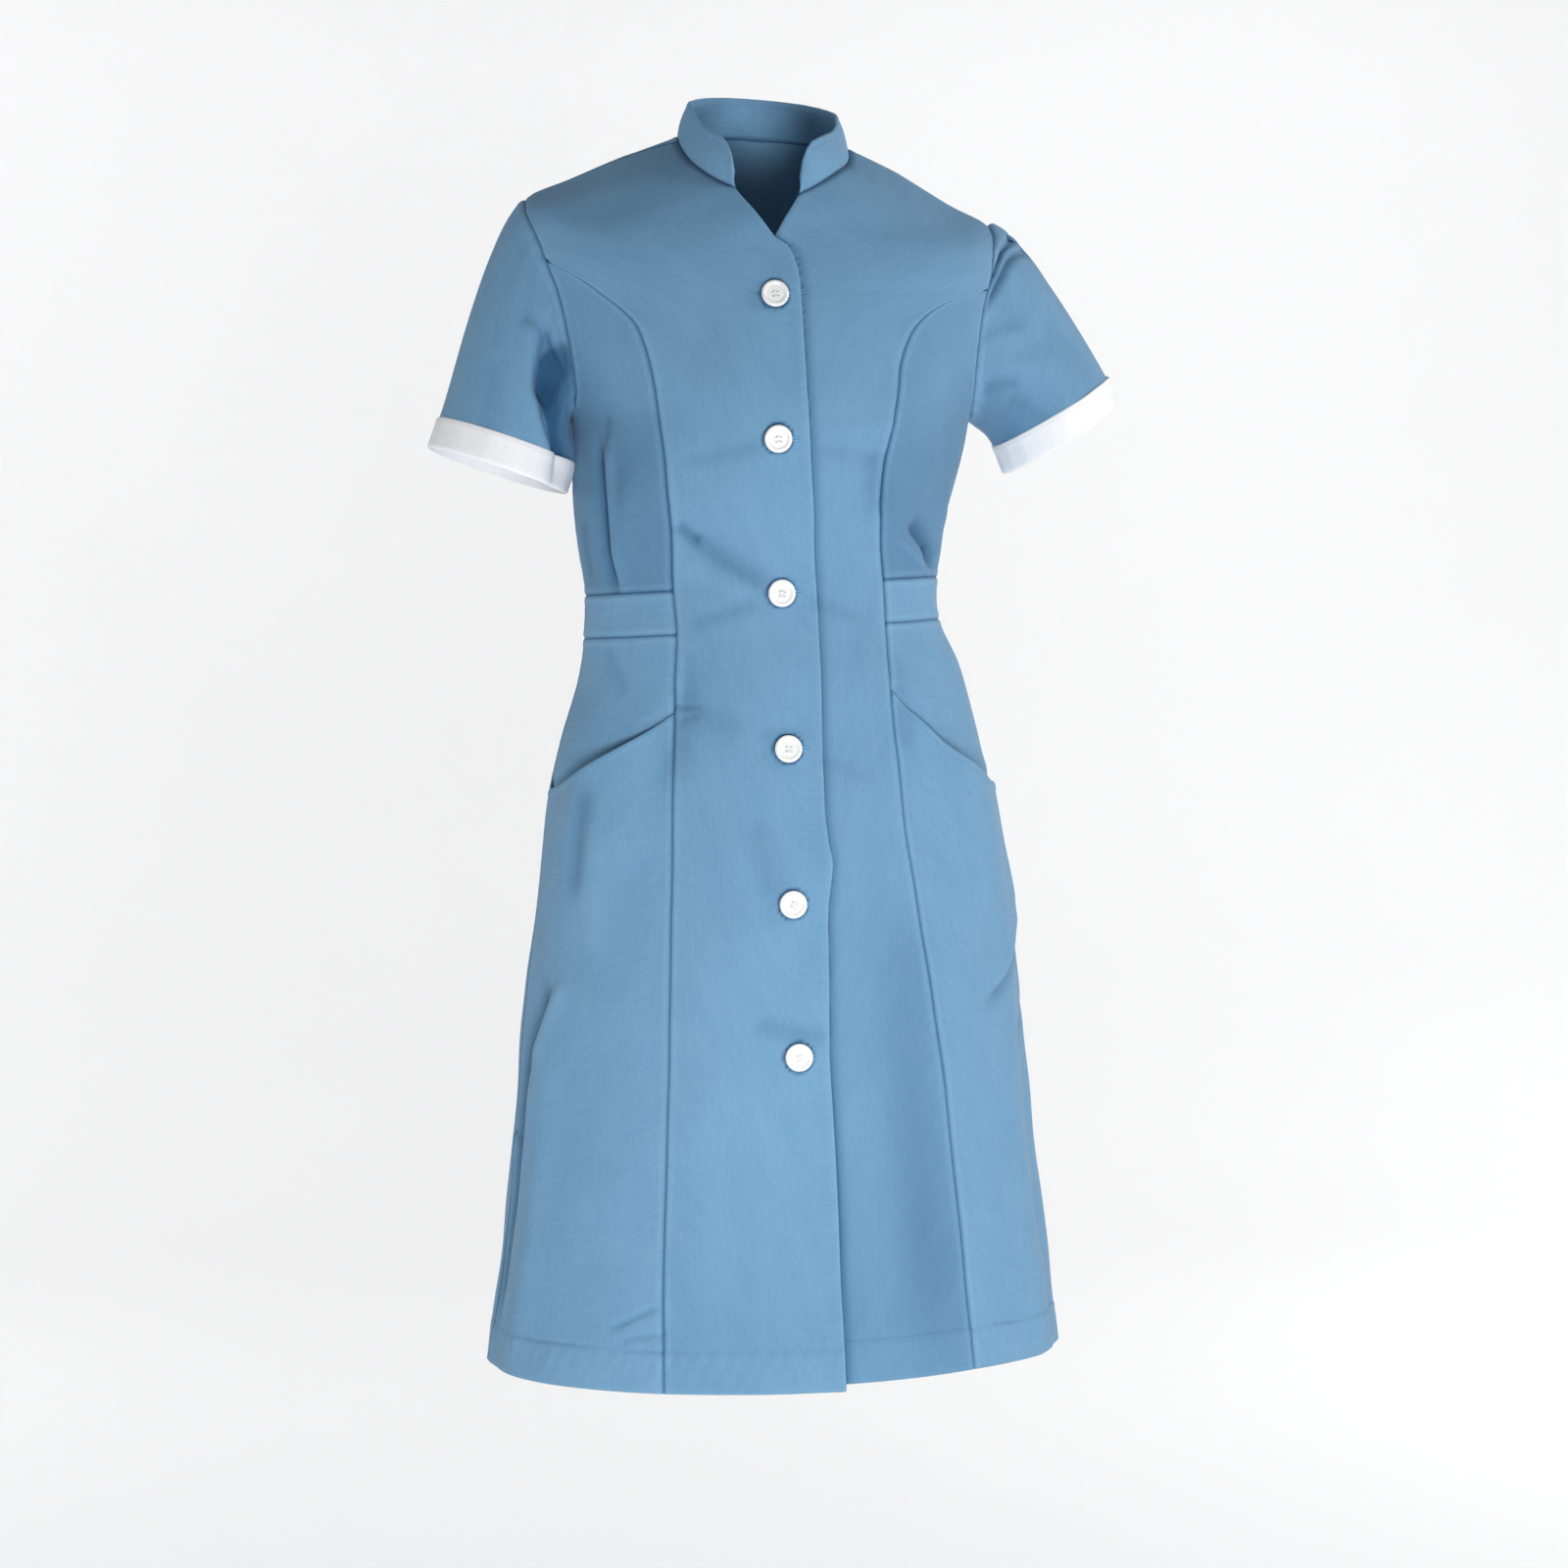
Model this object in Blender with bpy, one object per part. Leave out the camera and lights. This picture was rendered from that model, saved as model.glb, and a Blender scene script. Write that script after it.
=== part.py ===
# Nurse uniform dress, worn form, empty: knee length, stand collar, V opening, short cuffed sleeves.
# Metres, +Z up, front towards -Y. The origin is the middle of the wearer's shoulder line.
# Every cut piece is a thin wall on one shared body surface, with a small gap at each seam.
import math

import bpy
import bmesh
import numpy as np

# Driving dimensions
WALL = 0.0018            # cloth with its turnings, as one wall
SEAM_GAP = 0.0003        # between neighbouring pieces
LAP_GAP = 0.0007         # between the two fronts where they lie on each other
LAP_STEP = (WALL + LAP_GAP) / 2
HEM_LEVEL = -0.929
WAIST_TOP = -0.3205      # upper edge of the waistband at the centre line
WAIST_BOTTOM = -0.354
ARMPIT_LEVEL = -0.186
TIP_LEVEL = -0.066       # ring that passes through the shoulder tips
NECK_LEVEL = -0.022      # ring that is the neck seam
CUFF_WALL = 0.0022
CUFF_DEPTH = 0.0225
COLLAR_WALL = 0.0022
POCKET_DEPTH = 0.150     # bag below the mouth
POCKET_BULGE = 0.014     # how far the mouth stands open
POCKET_GAP = 0.0009      # between pocket back and side skirt where they lie together
NECK_LIFT = 0.009        # the left side of the neck seam sits higher in front
LEFT_HEM_RISE = 0.0045   # the lower front hangs a little short of the upper one
BUTTON_DIAMETER = 0.0212
BUTTON_THICKNESS = 0.0034
BUTTON_STANDOFF = 0.0007

CLOTH_BLUE = (0.158, 0.352, 0.560, 1.0)
CUFF_WHITE = (0.86, 0.87, 0.90, 1.0)
BUTTON_WHITE = (0.90, 0.90, 0.90, 1.0)

# Rings round the body, from the neck seam to the hem. A ring is a front and a back half ellipse:
# level is the height at its front centre, and tilt is the rise towards the left side (+X).
RING_COLUMNS = ("level", "side_x", "side_z", "front_y", "back_y", "back_z", "centre_x", "tilt")
RINGS = (
    (-0.022, 0.067, 0.0265, 0.078, 0.062, 0.040, 0.0020, -0.045),
    (-0.036, 0.107, 0.0114, 0.086, 0.080, 0.019, 0.0010, -0.048),
    (-0.050, 0.150, -0.0104, 0.092, 0.094, -0.004, 0.0000, -0.049),
    (-0.066, 0.184, -0.0270, 0.099, 0.104, -0.030, -0.0010, -0.040),
    (-0.080, 0.191, -0.0500, 0.105, 0.110, -0.056, 0.0000, -0.030),
    (-0.107, 0.187, -0.0930, 0.113, 0.114, -0.100, 0.0015, -0.018),
    (-0.146, 0.176, -0.1440, 0.123, 0.114, -0.146, 0.0040, -0.006),
    (-0.170, 0.166, -0.1700, 0.128, 0.113, -0.170, 0.0060, 0.000),
    (-0.186, 0.1585, -0.1860, 0.130, 0.112, -0.186, 0.0070, 0.004),
    (-0.210, 0.1545, -0.2100, 0.130, 0.109, -0.210, 0.0062, 0.012),
    (-0.246, 0.1505, -0.2460, 0.123, 0.102, -0.246, 0.0030, 0.026),
    (-0.285, 0.1440, -0.2850, 0.110, 0.094, -0.285, 0.0002, 0.042),
    (-0.3205, 0.1392, -0.3205, 0.104, 0.089, -0.3205, 0.0010, 0.054),
    (-0.354, 0.1406, -0.3540, 0.106, 0.091, -0.354, 0.0011, 0.054),
    (-0.390, 0.1516, -0.3900, 0.112, 0.101, -0.390, 0.0071, 0.046),
    (-0.440, 0.1660, -0.4400, 0.119, 0.116, -0.440, 0.0068, 0.034),
    (-0.495, 0.1765, -0.4950, 0.128, 0.127, -0.495, 0.0077, 0.024),
    (-0.560, 0.1873, -0.5600, 0.136, 0.133, -0.560, 0.0102, 0.014),
    (-0.640, 0.1971, -0.6400, 0.145, 0.139, -0.640, 0.0114, 0.008),
    (-0.760, 0.2081, -0.7600, 0.156, 0.149, -0.760, 0.0114, 0.006),
    (-0.860, 0.2200, -0.8600, 0.165, 0.158, -0.860, 0.0130, 0.012),
    (-0.929, 0.2290, -0.9290, 0.172, 0.165, -0.929, 0.0110, 0.016),
)

# Edges of the armhole, as angles from the front centre and from the back centre
ARMHOLE_COLUMNS = ("level", "front_angle", "back_angle")
ARMHOLE = (
    (-0.066, 90.0, 90.0),
    (-0.0705, 78.0, 78.0),
    (-0.078, 70.0, 71.0),
    (-0.087, 66.3, 67.5),
    (-0.097, 64.2, 65.2),
    (-0.107, 63.0, 64.0),
    (-0.117, 62.5, 63.4),
    (-0.129, 62.7, 63.0),
    (-0.146, 64.0, 64.0),
    (-0.162, 67.5, 67.5),
    (-0.175, 73.0, 73.0),
    (-0.183, 81.0, 81.0),
    (-0.186, 90.0, 90.0),
)

# Front princess seams: distance from the middle plane by height, for the right (-X) and left (+X)
PRINCESS_COLUMNS = ("height", "right_x", "left_x")
PRINCESS = (
    (-0.062, 0.1900, 0.2100),
    (-0.0708, 0.1730, 0.2000),
    (-0.080, 0.1585, 0.1850),
    (-0.090, 0.1440, 0.1665),
    (-0.098, 0.1345, 0.1415),
    (-0.108, 0.1225, 0.1218),
    (-0.119, 0.1120, 0.1085),
    (-0.136, 0.1045, 0.0978),
    (-0.151, 0.1005, 0.0928),
    (-0.171, 0.0967, 0.0900),
    (-0.196, 0.0930, 0.0851),
    (-0.223, 0.0887, 0.0800),
    (-0.251, 0.0863, 0.0785),
    (-0.285, 0.0825, 0.0797),
    (-0.320, 0.0811, 0.0837),
    (-0.356, 0.0784, 0.0852),
    (-0.400, 0.0806, 0.0868),
    (-0.456, 0.0830, 0.0910),
    (-0.504, 0.0848, 0.0957),
    (-0.566, 0.0866, 0.1039),
    (-0.630, 0.0881, 0.1141),
    (-0.690, 0.0899, 0.1228),
    (-0.841, 0.0957, 0.1377),
    (-0.929, 0.0973, 0.1460),
)

# Free edges of the two fronts by height: the upper (right) front laps over the lower (left) one
OPENING_COLUMNS = ("height", "upper_x", "lower_x")
OPENING = (
    (-0.0160, -0.0306, 0.0215),
    (-0.0190, -0.0285, 0.0195),
    (-0.0400, -0.0140, 0.0055),
    (-0.0552, -0.0037, -0.0037),
    (-0.0605, 0.0058, -0.0075),
    (-0.0680, 0.0096, -0.0120),
    (-0.0780, 0.0122, -0.0180),
    (-0.0900, 0.0136, -0.0225),
    (-0.1270, 0.0140, -0.0240),
    (-0.1710, 0.0150, -0.0240),
    (-0.2350, 0.0193, -0.0240),
    (-0.2725, 0.0232, -0.0230),
    (-0.3300, 0.0275, -0.0200),
    (-0.4060, 0.0289, -0.0190),
    (-0.5630, 0.0305, -0.0180),
    (-0.6780, 0.0295, -0.0170),
    (-0.7970, 0.0343, -0.0150),
    (-0.9290, 0.0379, -0.0120),
)

# Scooped pocket mouths: share of the way from princess seam to side seam, and height
MOUTH_COLUMNS = ("share", "right_height", "left_height")
MOUTH = (
    (0.00, -0.4154, -0.4050),
    (0.08, -0.4240, -0.4190),
    (0.16, -0.4325, -0.4330),
    (0.23, -0.4395, -0.4460),
    (0.31, -0.4470, -0.4565),
    (0.41, -0.4550, -0.4655),
    (0.54, -0.4630, -0.4745),
    (0.75, -0.4715, -0.4810),
    (1.00, -0.4765, -0.4835),
)

# Largest folds: each is a soft run from one angle and height to another; a minus depth is a trough
FOLD_COLUMNS = ("angle_1", "height_1", "angle_2", "height_2", "width", "depth")
FOLDS = (
    (-50.0, -0.215, -57.0, -0.318, 0.010, 0.0035),     # tuck over the right side of the waist
    (-56.0, -0.220, -63.5, -0.318, 0.007, -0.0035),
    (58.0, -0.235, 50.0, -0.300, 0.013, -0.0025),      # pull towards the left waist
    (66.0, -0.240, 66.0, -0.312, 0.010, 0.0030),
    (-14.0, -0.272, -34.0, -0.330, 0.018, -0.0020),    # slack across the front above the band
    (-66.0, -0.600, -70.0, -0.900, 0.020, 0.0045),     # hanging folds of the side skirt
    (-80.0, -0.560, -82.0, -0.915, 0.018, -0.0045),
    (60.0, -0.640, 58.0, -0.915, 0.022, 0.0035),
    (73.0, -0.600, 74.0, -0.915, 0.018, -0.0045),
    (-104.0, -0.560, -106.0, -0.915, 0.022, 0.0040),
    (-126.0, -0.580, -128.0, -0.915, 0.024, -0.0040),
    (-158.0, -0.560, -158.0, -0.915, 0.028, 0.0040),
    (168.0, -0.560, 170.0, -0.915, 0.026, -0.0040),
    (138.0, -0.580, 140.0, -0.915, 0.026, 0.0040),
    (112.0, -0.560, 112.0, -0.915, 0.022, -0.0040),
    (-140.0, -0.240, -152.0, -0.315, 0.014, -0.0030),  # slack at the back waist
    (142.0, -0.235, 152.0, -0.315, 0.014, -0.0030),
    (172.0, -0.262, 180.0, -0.300, 0.016, 0.0020),
)

# Sleeves: the cuff's upper edge as a tilted ring, and the bend of the sleeve on its way to it
SLEEVE_COLUMNS = ("side", "centre_x", "centre_y", "centre_z", "lean", "lean_back", "half_width",
                  "half_depth", "hang", "flare", "cap_rise")
SLEEVES = (
    ("right", -0.2026, 0.008, -0.2085, 18.5, 0.0, 0.0532, 0.0590, 16.0, 0.0015, 0.25),
    ("left", 0.2425, 0.028, -0.1810, 32.0, 0.0, 0.0520, 0.0590, 14.0, -0.0030, 2.10),
)
SLEEVE_FOLD_COLUMNS = ("turn_1", "way_1", "turn_2", "way_2", "width", "depth")
SLEEVE_FOLDS = {
    "right": (
        (0.17, 0.22, 0.12, 0.98, 0.050, -0.0075),
        (0.25, 0.30, 0.21, 1.00, 0.045, 0.0040),
        (0.33, 0.10, 0.24, 0.55, 0.040, -0.0025),
        (0.80, 0.25, 0.88, 0.95, 0.050, -0.0050),
        (0.66, 0.15, 0.72, 0.80, 0.050, 0.0035),
    ),
    "left": (
        (0.14, 0.20, 0.26, 0.70, 0.045, -0.0040),
        (0.22, 0.30, 0.36, 0.75, 0.045, 0.0035),
        (0.40, 0.02, 0.28, 0.35, 0.035, -0.0030),
        (0.80, 0.25, 0.88, 0.95, 0.050, -0.0050),
        (0.68, 0.15, 0.72, 0.80, 0.050, 0.0035),
    ),
}

# Collar: height and inward lean by distance along the neck seam from its rounded front end
COLLAR_COLUMNS = ("distance", "height", "lean_in")
COLLAR = (
    (0.000, 0.0120, 0.06),
    (0.003, 0.0235, 0.08),
    (0.008, 0.0305, 0.12),
    (0.016, 0.0340, 0.18),
    (0.030, 0.0325, 0.28),
    (0.055, 0.0290, 0.38),
    (0.090, 0.0290, 0.34),
    (0.160, 0.0300, 0.26),
)

# Buttons on the centre line
BUTTON_COLUMNS = ("x", "height")
BUTTONS = (
    (-0.0061, -0.1007),
    (-0.0062, -0.2097),
    (0.0002, -0.3265),
    (0.0030, -0.4455),
    (0.0040, -0.5631),
    (0.0064, -0.6782),
)


def column(table, columns, name):
    """One named column of a table as an array."""
    return np.array([row[columns.index(name)] for row in table], dtype=float)


def smooth(knots, values, at):
    """Curve through a table's values, with no kink at its rows."""
    order = np.argsort(knots)
    knots = np.asarray(knots, dtype=float)[order]
    values = np.asarray(values, dtype=float)[order]
    at = np.clip(np.asarray(at, dtype=float), knots[0], knots[-1])
    slopes = np.gradient(values, knots)
    cell = np.clip(np.searchsorted(knots, at, side="right") - 1, 0, len(knots) - 2)
    span = knots[cell + 1] - knots[cell]
    t = (at - knots[cell]) / span
    start = values[cell] * (1 + 2 * t) * (1 - t) ** 2 + slopes[cell] * span * t * (1 - t) ** 2
    end = values[cell + 1] * t * t * (3 - 2 * t) + slopes[cell + 1] * span * t * t * (t - 1)
    return start + end


def ramp(value, low, high):
    """0 below low, 1 above high, smooth between."""
    t = np.clip((value - low) / (high - low), 0.0, 1.0)
    return t * t * (3 - 2 * t)


def unit(vectors):
    return vectors / np.maximum(np.linalg.norm(vectors, axis=-1, keepdims=True), 1e-12)


def bare_point(level, angle):
    """Point of the body surface before folds; angle is from the front centre towards +X."""
    ring = {}
    levels = column(RINGS, RING_COLUMNS, "level")
    for name in RING_COLUMNS[1:]:
        ring[name] = smooth(levels, column(RINGS, RING_COLUMNS, name), level)
    along = np.cos(angle)
    front = along >= 0
    x_off = ring["side_x"] * np.sin(angle)
    y = np.where(front, -ring["front_y"], -ring["back_y"]) * along
    middle_z = np.where(front, level, ring["back_z"])
    z = ring["side_z"] + (middle_z - ring["side_z"]) * np.abs(along) + ring["tilt"] * x_off
    left_front = front & (np.sin(angle) > 0)
    z = z + np.where(left_front, NECK_LIFT * np.sin(2 * angle) ** 2, 0.0) * ramp(level, -0.052, NECK_LEVEL)
    return np.stack([ring["centre_x"] + x_off, y, z], axis=-1)


def outward(surface, level, angle):
    """Unit normal of a surface by small steps either way."""
    step_level = 0.0010
    step_angle = 0.006
    down = surface(level - step_level, angle) - surface(level + step_level, angle)
    round_ = surface(level, angle + step_angle) - surface(level, angle - step_angle)
    return unit(np.cross(down, round_))


def fold_height(level, angle):
    """Sum of the soft folds at a place: a bell across each run, fading out at its ends."""
    ring_width = smooth(column(RINGS, RING_COLUMNS, "level"), column(RINGS, RING_COLUMNS, "side_x"), level)
    total = np.zeros(np.broadcast(level, angle).shape)
    for angle_1, height_1, angle_2, height_2, width, depth in FOLDS:
        way = np.clip((level - height_1) / (height_2 - height_1), 0.0, 1.0)
        at_angle = np.radians(angle_1 + (angle_2 - angle_1) * way)
        turn = (angle - at_angle + math.pi) % (2 * math.pi) - math.pi
        across = turn * ring_width * 0.9
        beyond = np.maximum(np.maximum(height_2 - level, level - height_1), 0.0)
        fade = ramp(way, 0.0, 0.35) * np.exp(-(beyond / width) ** 2)
        if height_2 > HEM_LEVEL + 0.04:
            fade = fade * (1 - ramp(way, 0.75, 1.0))
        total = total + depth * fade * np.exp(-(across / width) ** 2)
    return total


def body_point(level, angle):
    """Point of the worn cloth's middle surface, folds included."""
    level, angle = np.broadcast_arrays(np.asarray(level, dtype=float), np.asarray(angle, dtype=float))
    lift = fold_height(level, angle)[..., None]
    return bare_point(level, angle) + lift * outward(bare_point, level, angle)


def angle_where_x(level, wanted_x_at_height):
    """Front angle at which a ring meets a seam given as x by height."""
    level = np.asarray(level, dtype=float)
    height = level.copy()
    for _ in range(12):
        x = wanted_x_at_height(height)
        side = smooth(column(RINGS, RING_COLUMNS, "level"), column(RINGS, RING_COLUMNS, "side_x"), level)
        centre = smooth(column(RINGS, RING_COLUMNS, "level"), column(RINGS, RING_COLUMNS, "centre_x"), level)
        angle = np.arcsin(np.clip((x - centre) / side, -1.0, 1.0))
        height = 0.5 * height + 0.5 * bare_point(level, angle)[..., 2]
    return angle


def princess_angle(level, side):
    """Angle of a princess seam, side -1 for the wearer's right and 1 for the left."""
    name = "right_x" if side < 0 else "left_x"
    heights = column(PRINCESS, PRINCESS_COLUMNS, "height")
    offsets = column(PRINCESS, PRINCESS_COLUMNS, name)
    return angle_where_x(level, lambda height: side * smooth(heights, offsets, height))


def opening_angle(level, name):
    """Angle of a front's free edge."""
    heights = column(OPENING, OPENING_COLUMNS, "height")
    edge = column(OPENING, OPENING_COLUMNS, name)
    return angle_where_x(level, lambda height: np.interp(height, heights[::-1], edge[::-1]))


def armhole_angle(level, name):
    levels = column(ARMHOLE, ARMHOLE_COLUMNS, "level")
    return np.radians(smooth(levels, column(ARMHOLE, ARMHOLE_COLUMNS, name), level))


def princess_top(side):
    """Level at which a princess seam runs into the armhole."""
    levels = np.linspace(ARMPIT_LEVEL, TIP_LEVEL, 241)
    gap = armhole_angle(levels, "front_angle") - np.abs(princess_angle(levels, side))
    shut = levels[(gap < math.radians(1.2)) & (levels > -0.15)]
    return float(shut.min())


def material(name, colour, roughness):
    made = bpy.data.materials.new(name)
    made.use_nodes = True
    shader = made.node_tree.nodes["Principled BSDF"]
    shader.inputs["Base Color"].default_value = colour
    shader.inputs["Roughness"].default_value = roughness
    shader.inputs["Metallic"].default_value = 0.0
    return made


def add_object(name, mesh_bm, colour, roughness, sharp_angle=40.0):
    """Put a finished bmesh into the scene as one named, smooth-shaded object."""
    mesh = bpy.data.meshes.new(name)
    bmesh.ops.recalc_face_normals(mesh_bm, faces=mesh_bm.faces)
    if mesh_bm.calc_volume(signed=True) < 0:
        bmesh.ops.reverse_faces(mesh_bm, faces=mesh_bm.faces)
    mesh_bm.to_mesh(mesh)
    mesh_bm.free()
    mesh.shade_smooth()
    mesh.set_sharp_from_angle(angle=math.radians(sharp_angle))
    mesh.materials.append(material(name + "_finish", colour, roughness))
    made = bpy.data.objects.new(name, mesh)
    bpy.context.scene.collection.objects.link(made)
    return made


def pull_in(points, amount, edges):
    """Draw the chosen edges of a grid in along the cloth, so that neighbours keep the seam gap."""
    points = points.copy()
    if "first_column" in edges:
        points[:, 0] += unit(points[:, 1] - points[:, 0]) * amount
    if "last_column" in edges:
        points[:, -1] += unit(points[:, -2] - points[:, -1]) * amount
    if "first_row" in edges:
        points[0] += unit(points[1] - points[0]) * amount
    if "last_row" in edges:
        points[-1] += unit(points[-2] - points[-1]) * amount
    return points


def wall_mesh(points, normals, wall, closed=False):
    """Closed thin wall either side of a grid of points; closed joins its last column to its first."""
    rows, columns = points.shape[:2]
    outer = points + normals * (wall / 2)
    inner = points - normals * (wall / 2)
    made = bmesh.new()
    skins = []
    for skin in (outer, inner):
        skins.append([[made.verts.new(skin[r, c]) for c in range(columns)] for r in range(rows)])
    last = columns if closed else columns - 1
    for r in range(rows - 1):
        for c in range(last):
            d = (c + 1) % columns
            made.faces.new((skins[0][r][c], skins[0][r][d], skins[0][r + 1][d], skins[0][r + 1][c]))
            made.faces.new((skins[1][r][c], skins[1][r + 1][c], skins[1][r + 1][d], skins[1][r][d]))
    for c in range(last):
        d = (c + 1) % columns
        made.faces.new((skins[0][0][d], skins[0][0][c], skins[1][0][c], skins[1][0][d]))
        made.faces.new((skins[0][-1][c], skins[0][-1][d], skins[1][-1][d], skins[1][-1][c]))
    if not closed:
        for r in range(rows - 1):
            made.faces.new((skins[0][r][0], skins[0][r + 1][0], skins[1][r + 1][0], skins[1][r][0]))
            made.faces.new((skins[0][r + 1][-1], skins[0][r][-1], skins[1][r][-1], skins[1][r + 1][-1]))
    bmesh.ops.triangulate(made, faces=made.faces)
    return made


def body_panel(name, levels, first_angle, last_angle, columns, seams, shift=None):
    """Panel between two seam curves, as a wall on the body surface; shift moves it out or in."""
    share = np.linspace(0.0, 1.0, columns)[None, :]
    level = np.asarray(levels, dtype=float)
    if level.ndim == 1:
        level = np.repeat(level[:, None], columns, axis=1)
    first = first_angle(level)
    last = last_angle(level)
    angle = first + (last - first) * share
    points = body_point(level, angle)
    normals = outward(body_point, level, angle)
    if shift is not None:
        points = points + normals * shift(level, angle, points)[..., None]
    points = pull_in(points, SEAM_GAP / 2, seams)
    return add_object(name, wall_mesh(points, normals, WALL), CLOTH_BLUE, 0.72)


def spaced(*stops):
    """Levels from one stop to the next: pairs of level and count of steps that lead to it."""
    levels = [stops[0]]
    for end, steps in zip(stops[1::2], stops[2::2]):
        start = levels[-1]
        levels.extend(start + (end - start) * (i + 1) / steps for i in range(steps))
    return np.array(levels)


SHOULDER_LEVELS = spaced(NECK_LEVEL, TIP_LEVEL + 0.0115, 3, TIP_LEVEL, 1)
BODICE_LEVELS = spaced(ARMPIT_LEVEL, -0.246, 3, WAIST_TOP, 4)[1:]
FRONT_COLUMNS = 9
BACK_COLUMNS = 25


def lap_shift(sign):
    """Lift the upper front and press in the lower one where they lie on each other."""
    def shift(level, angle, points):
        middle = points[..., 0] - np.interp(level, [HEM_LEVEL, NECK_LEVEL], [0.012, -0.004])
        near = 1 - ramp(-sign * middle, 0.030, 0.064)
        below_v = 1 - ramp(points[..., 2], -0.050, -0.026)
        return sign * LAP_STEP * near * below_v
    return shift


def upper_levels(side):
    """Levels down to the armpit, with a row where the princess seam of that side ends."""
    top = princess_top(side)
    rows = [row[0] for row in ARMHOLE if abs(row[0] - top) > 0.004]
    return np.sort(np.array(rows + [top]))[::-1]


def fronts():
    """Two centre fronts, each in one piece from the shoulder seam to the hem."""
    for name, side, edge in (("front_right", -1, "upper_x"), ("front_left", 1, "lower_x")):
        top = princess_top(side)
        levels = np.concatenate([SHOULDER_LEVELS, upper_levels(side)[1:], [top + 0.0016], BODICE_LEVELS,
                                 spaced(WAIST_TOP, WAIST_BOTTOM, 2, -0.495, 8, HEM_LEVEL, 12)[1:]])
        levels = np.sort(levels)[::-1]
        levels[-1] += max(side, 0) * LEFT_HEM_RISE

        def outer(level, side=side, top=top):
            armhole = np.where(level >= TIP_LEVEL, math.pi / 2, armhole_angle(level, "front_angle"))
            return side * np.where(level > top, armhole, np.abs(princess_angle(level, side)))

        def inner(level, edge=edge):
            return opening_angle(level, edge)

        body_panel(name, levels, inner, outer, FRONT_COLUMNS, ("last_column", "first_row"), lap_shift(-side))


def side_fronts():
    """Side bodice, waistband and side skirt between each princess seam and side seam."""
    for name, side in (("right", -1), ("left", 1)):
        def princess(level, side=side):
            return princess_angle(level, side)

        def outer(level, side=side):
            armhole = np.where(level > ARMPIT_LEVEL, armhole_angle(level, "front_angle"), math.pi / 2)
            return side * armhole

        def side_seam(level, side=side):
            return side * np.full(level.shape, math.pi / 2)

        top = princess_top(side)
        levels = upper_levels(side)
        levels = np.concatenate([levels[levels <= top], BODICE_LEVELS])
        body_panel("side_bodice_" + name, levels, princess, outer, 9,
                   ("first_column", "last_column", "last_row"))
        levels = spaced(WAIST_TOP, WAIST_BOTTOM, 2)
        body_panel("waistband_" + name, levels, princess, side_seam, 9,
                   ("first_column", "last_column", "first_row", "last_row"))
        side_skirt(name, side, princess, side_seam)
        pocket_yoke(name, side, princess, side_seam)


def mouth_level(share, name):
    return smooth(column(MOUTH, MOUTH_COLUMNS, "share"), column(MOUTH, MOUTH_COLUMNS, name + "_height"), share)


def side_skirt(name, side, princess, side_seam):
    """Skirt panel from the scooped pocket mouth to the hem; its mouth stands open."""
    columns = 11
    share = np.linspace(0.0, 1.0, columns)[None, :]
    steps = np.concatenate([np.linspace(0.0, 0.24, 6)[:-1], np.linspace(0.24, 1.0, 11)])[:, None]
    mouth = mouth_level(share, name)
    hem = HEM_LEVEL + max(side, 0) * LEFT_HEM_RISE * (1 - share)
    level = mouth + (hem - mouth) * steps

    def shift(level, angle, points):
        below = (mouth - level) / POCKET_DEPTH
        across = np.sin(math.pi * share ** 0.75) ** 3.0
        return POCKET_BULGE * across * (1 - ramp(below, 0.1, 1.0))

    body_panel("side_skirt_" + name, level, princess, side_seam, columns,
               ("first_column", "last_column"), shift)


def pocket_yoke(name, side, princess, side_seam):
    """Hip piece from the waistband down, which carries on behind the side skirt as the pocket's back."""
    columns = 11
    share = np.linspace(0.0, 1.0, columns)[None, :]
    dip = 0.014
    mouth = mouth_level(share, name) + 0.0012
    upper = np.linspace(0.0, 1.0, 8)[:, None]
    above = WAIST_BOTTOM + (mouth + dip - WAIST_BOTTOM) * upper
    turning = (mouth + dip - dip * np.array([0.5, 1.0])[:, None])
    bottom = mouth_level(0.5, name) - POCKET_DEPTH
    below = mouth + (bottom - mouth) * np.linspace(0.0, 1.0, 6)[1:, None]
    level = np.concatenate([above, turning, below])

    def inset(level):
        return 0.06 * ramp(mouth - level, 0.0, 0.012)

    def first(level):
        return princess(level) + (side_seam(level) - princess(level)) * inset(level)

    def last(level):
        return side_seam(level) - (side_seam(level) - princess(level)) * inset(level)

    def shift(level, angle, points):
        return -(WALL + POCKET_GAP) * ramp(mouth + dip - level, 0.0, dip)

    body_panel("pocket_yoke_" + name, level, first, last, columns,
               ("first_column", "last_column", "first_row"), shift)


def backs():
    """Back bodice, back waistband and back skirt, each in one piece from side seam to side seam."""
    def first(level):
        armhole = np.where(level >= TIP_LEVEL, math.pi / 2, armhole_angle(level, "back_angle"))
        armhole = np.where(level <= ARMPIT_LEVEL, math.pi / 2, armhole)
        return math.pi - armhole

    def last(level):
        return 2 * math.pi - first(level)

    armhole_levels = [row[0] for row in ARMHOLE if row[0] < TIP_LEVEL]
    levels = np.concatenate([SHOULDER_LEVELS, armhole_levels, BODICE_LEVELS])
    body_panel("back_bodice", levels, first, last, BACK_COLUMNS,
               ("first_column", "last_column", "first_row", "last_row"))
    body_panel("back_waistband", spaced(WAIST_TOP, WAIST_BOTTOM, 2), first, last, BACK_COLUMNS,
               ("first_column", "last_column", "first_row", "last_row"))
    body_panel("back_skirt", spaced(WAIST_BOTTOM, -0.495, 4, HEM_LEVEL, 8), first, last, 31,
               ("first_column", "last_column", "first_row"))


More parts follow.
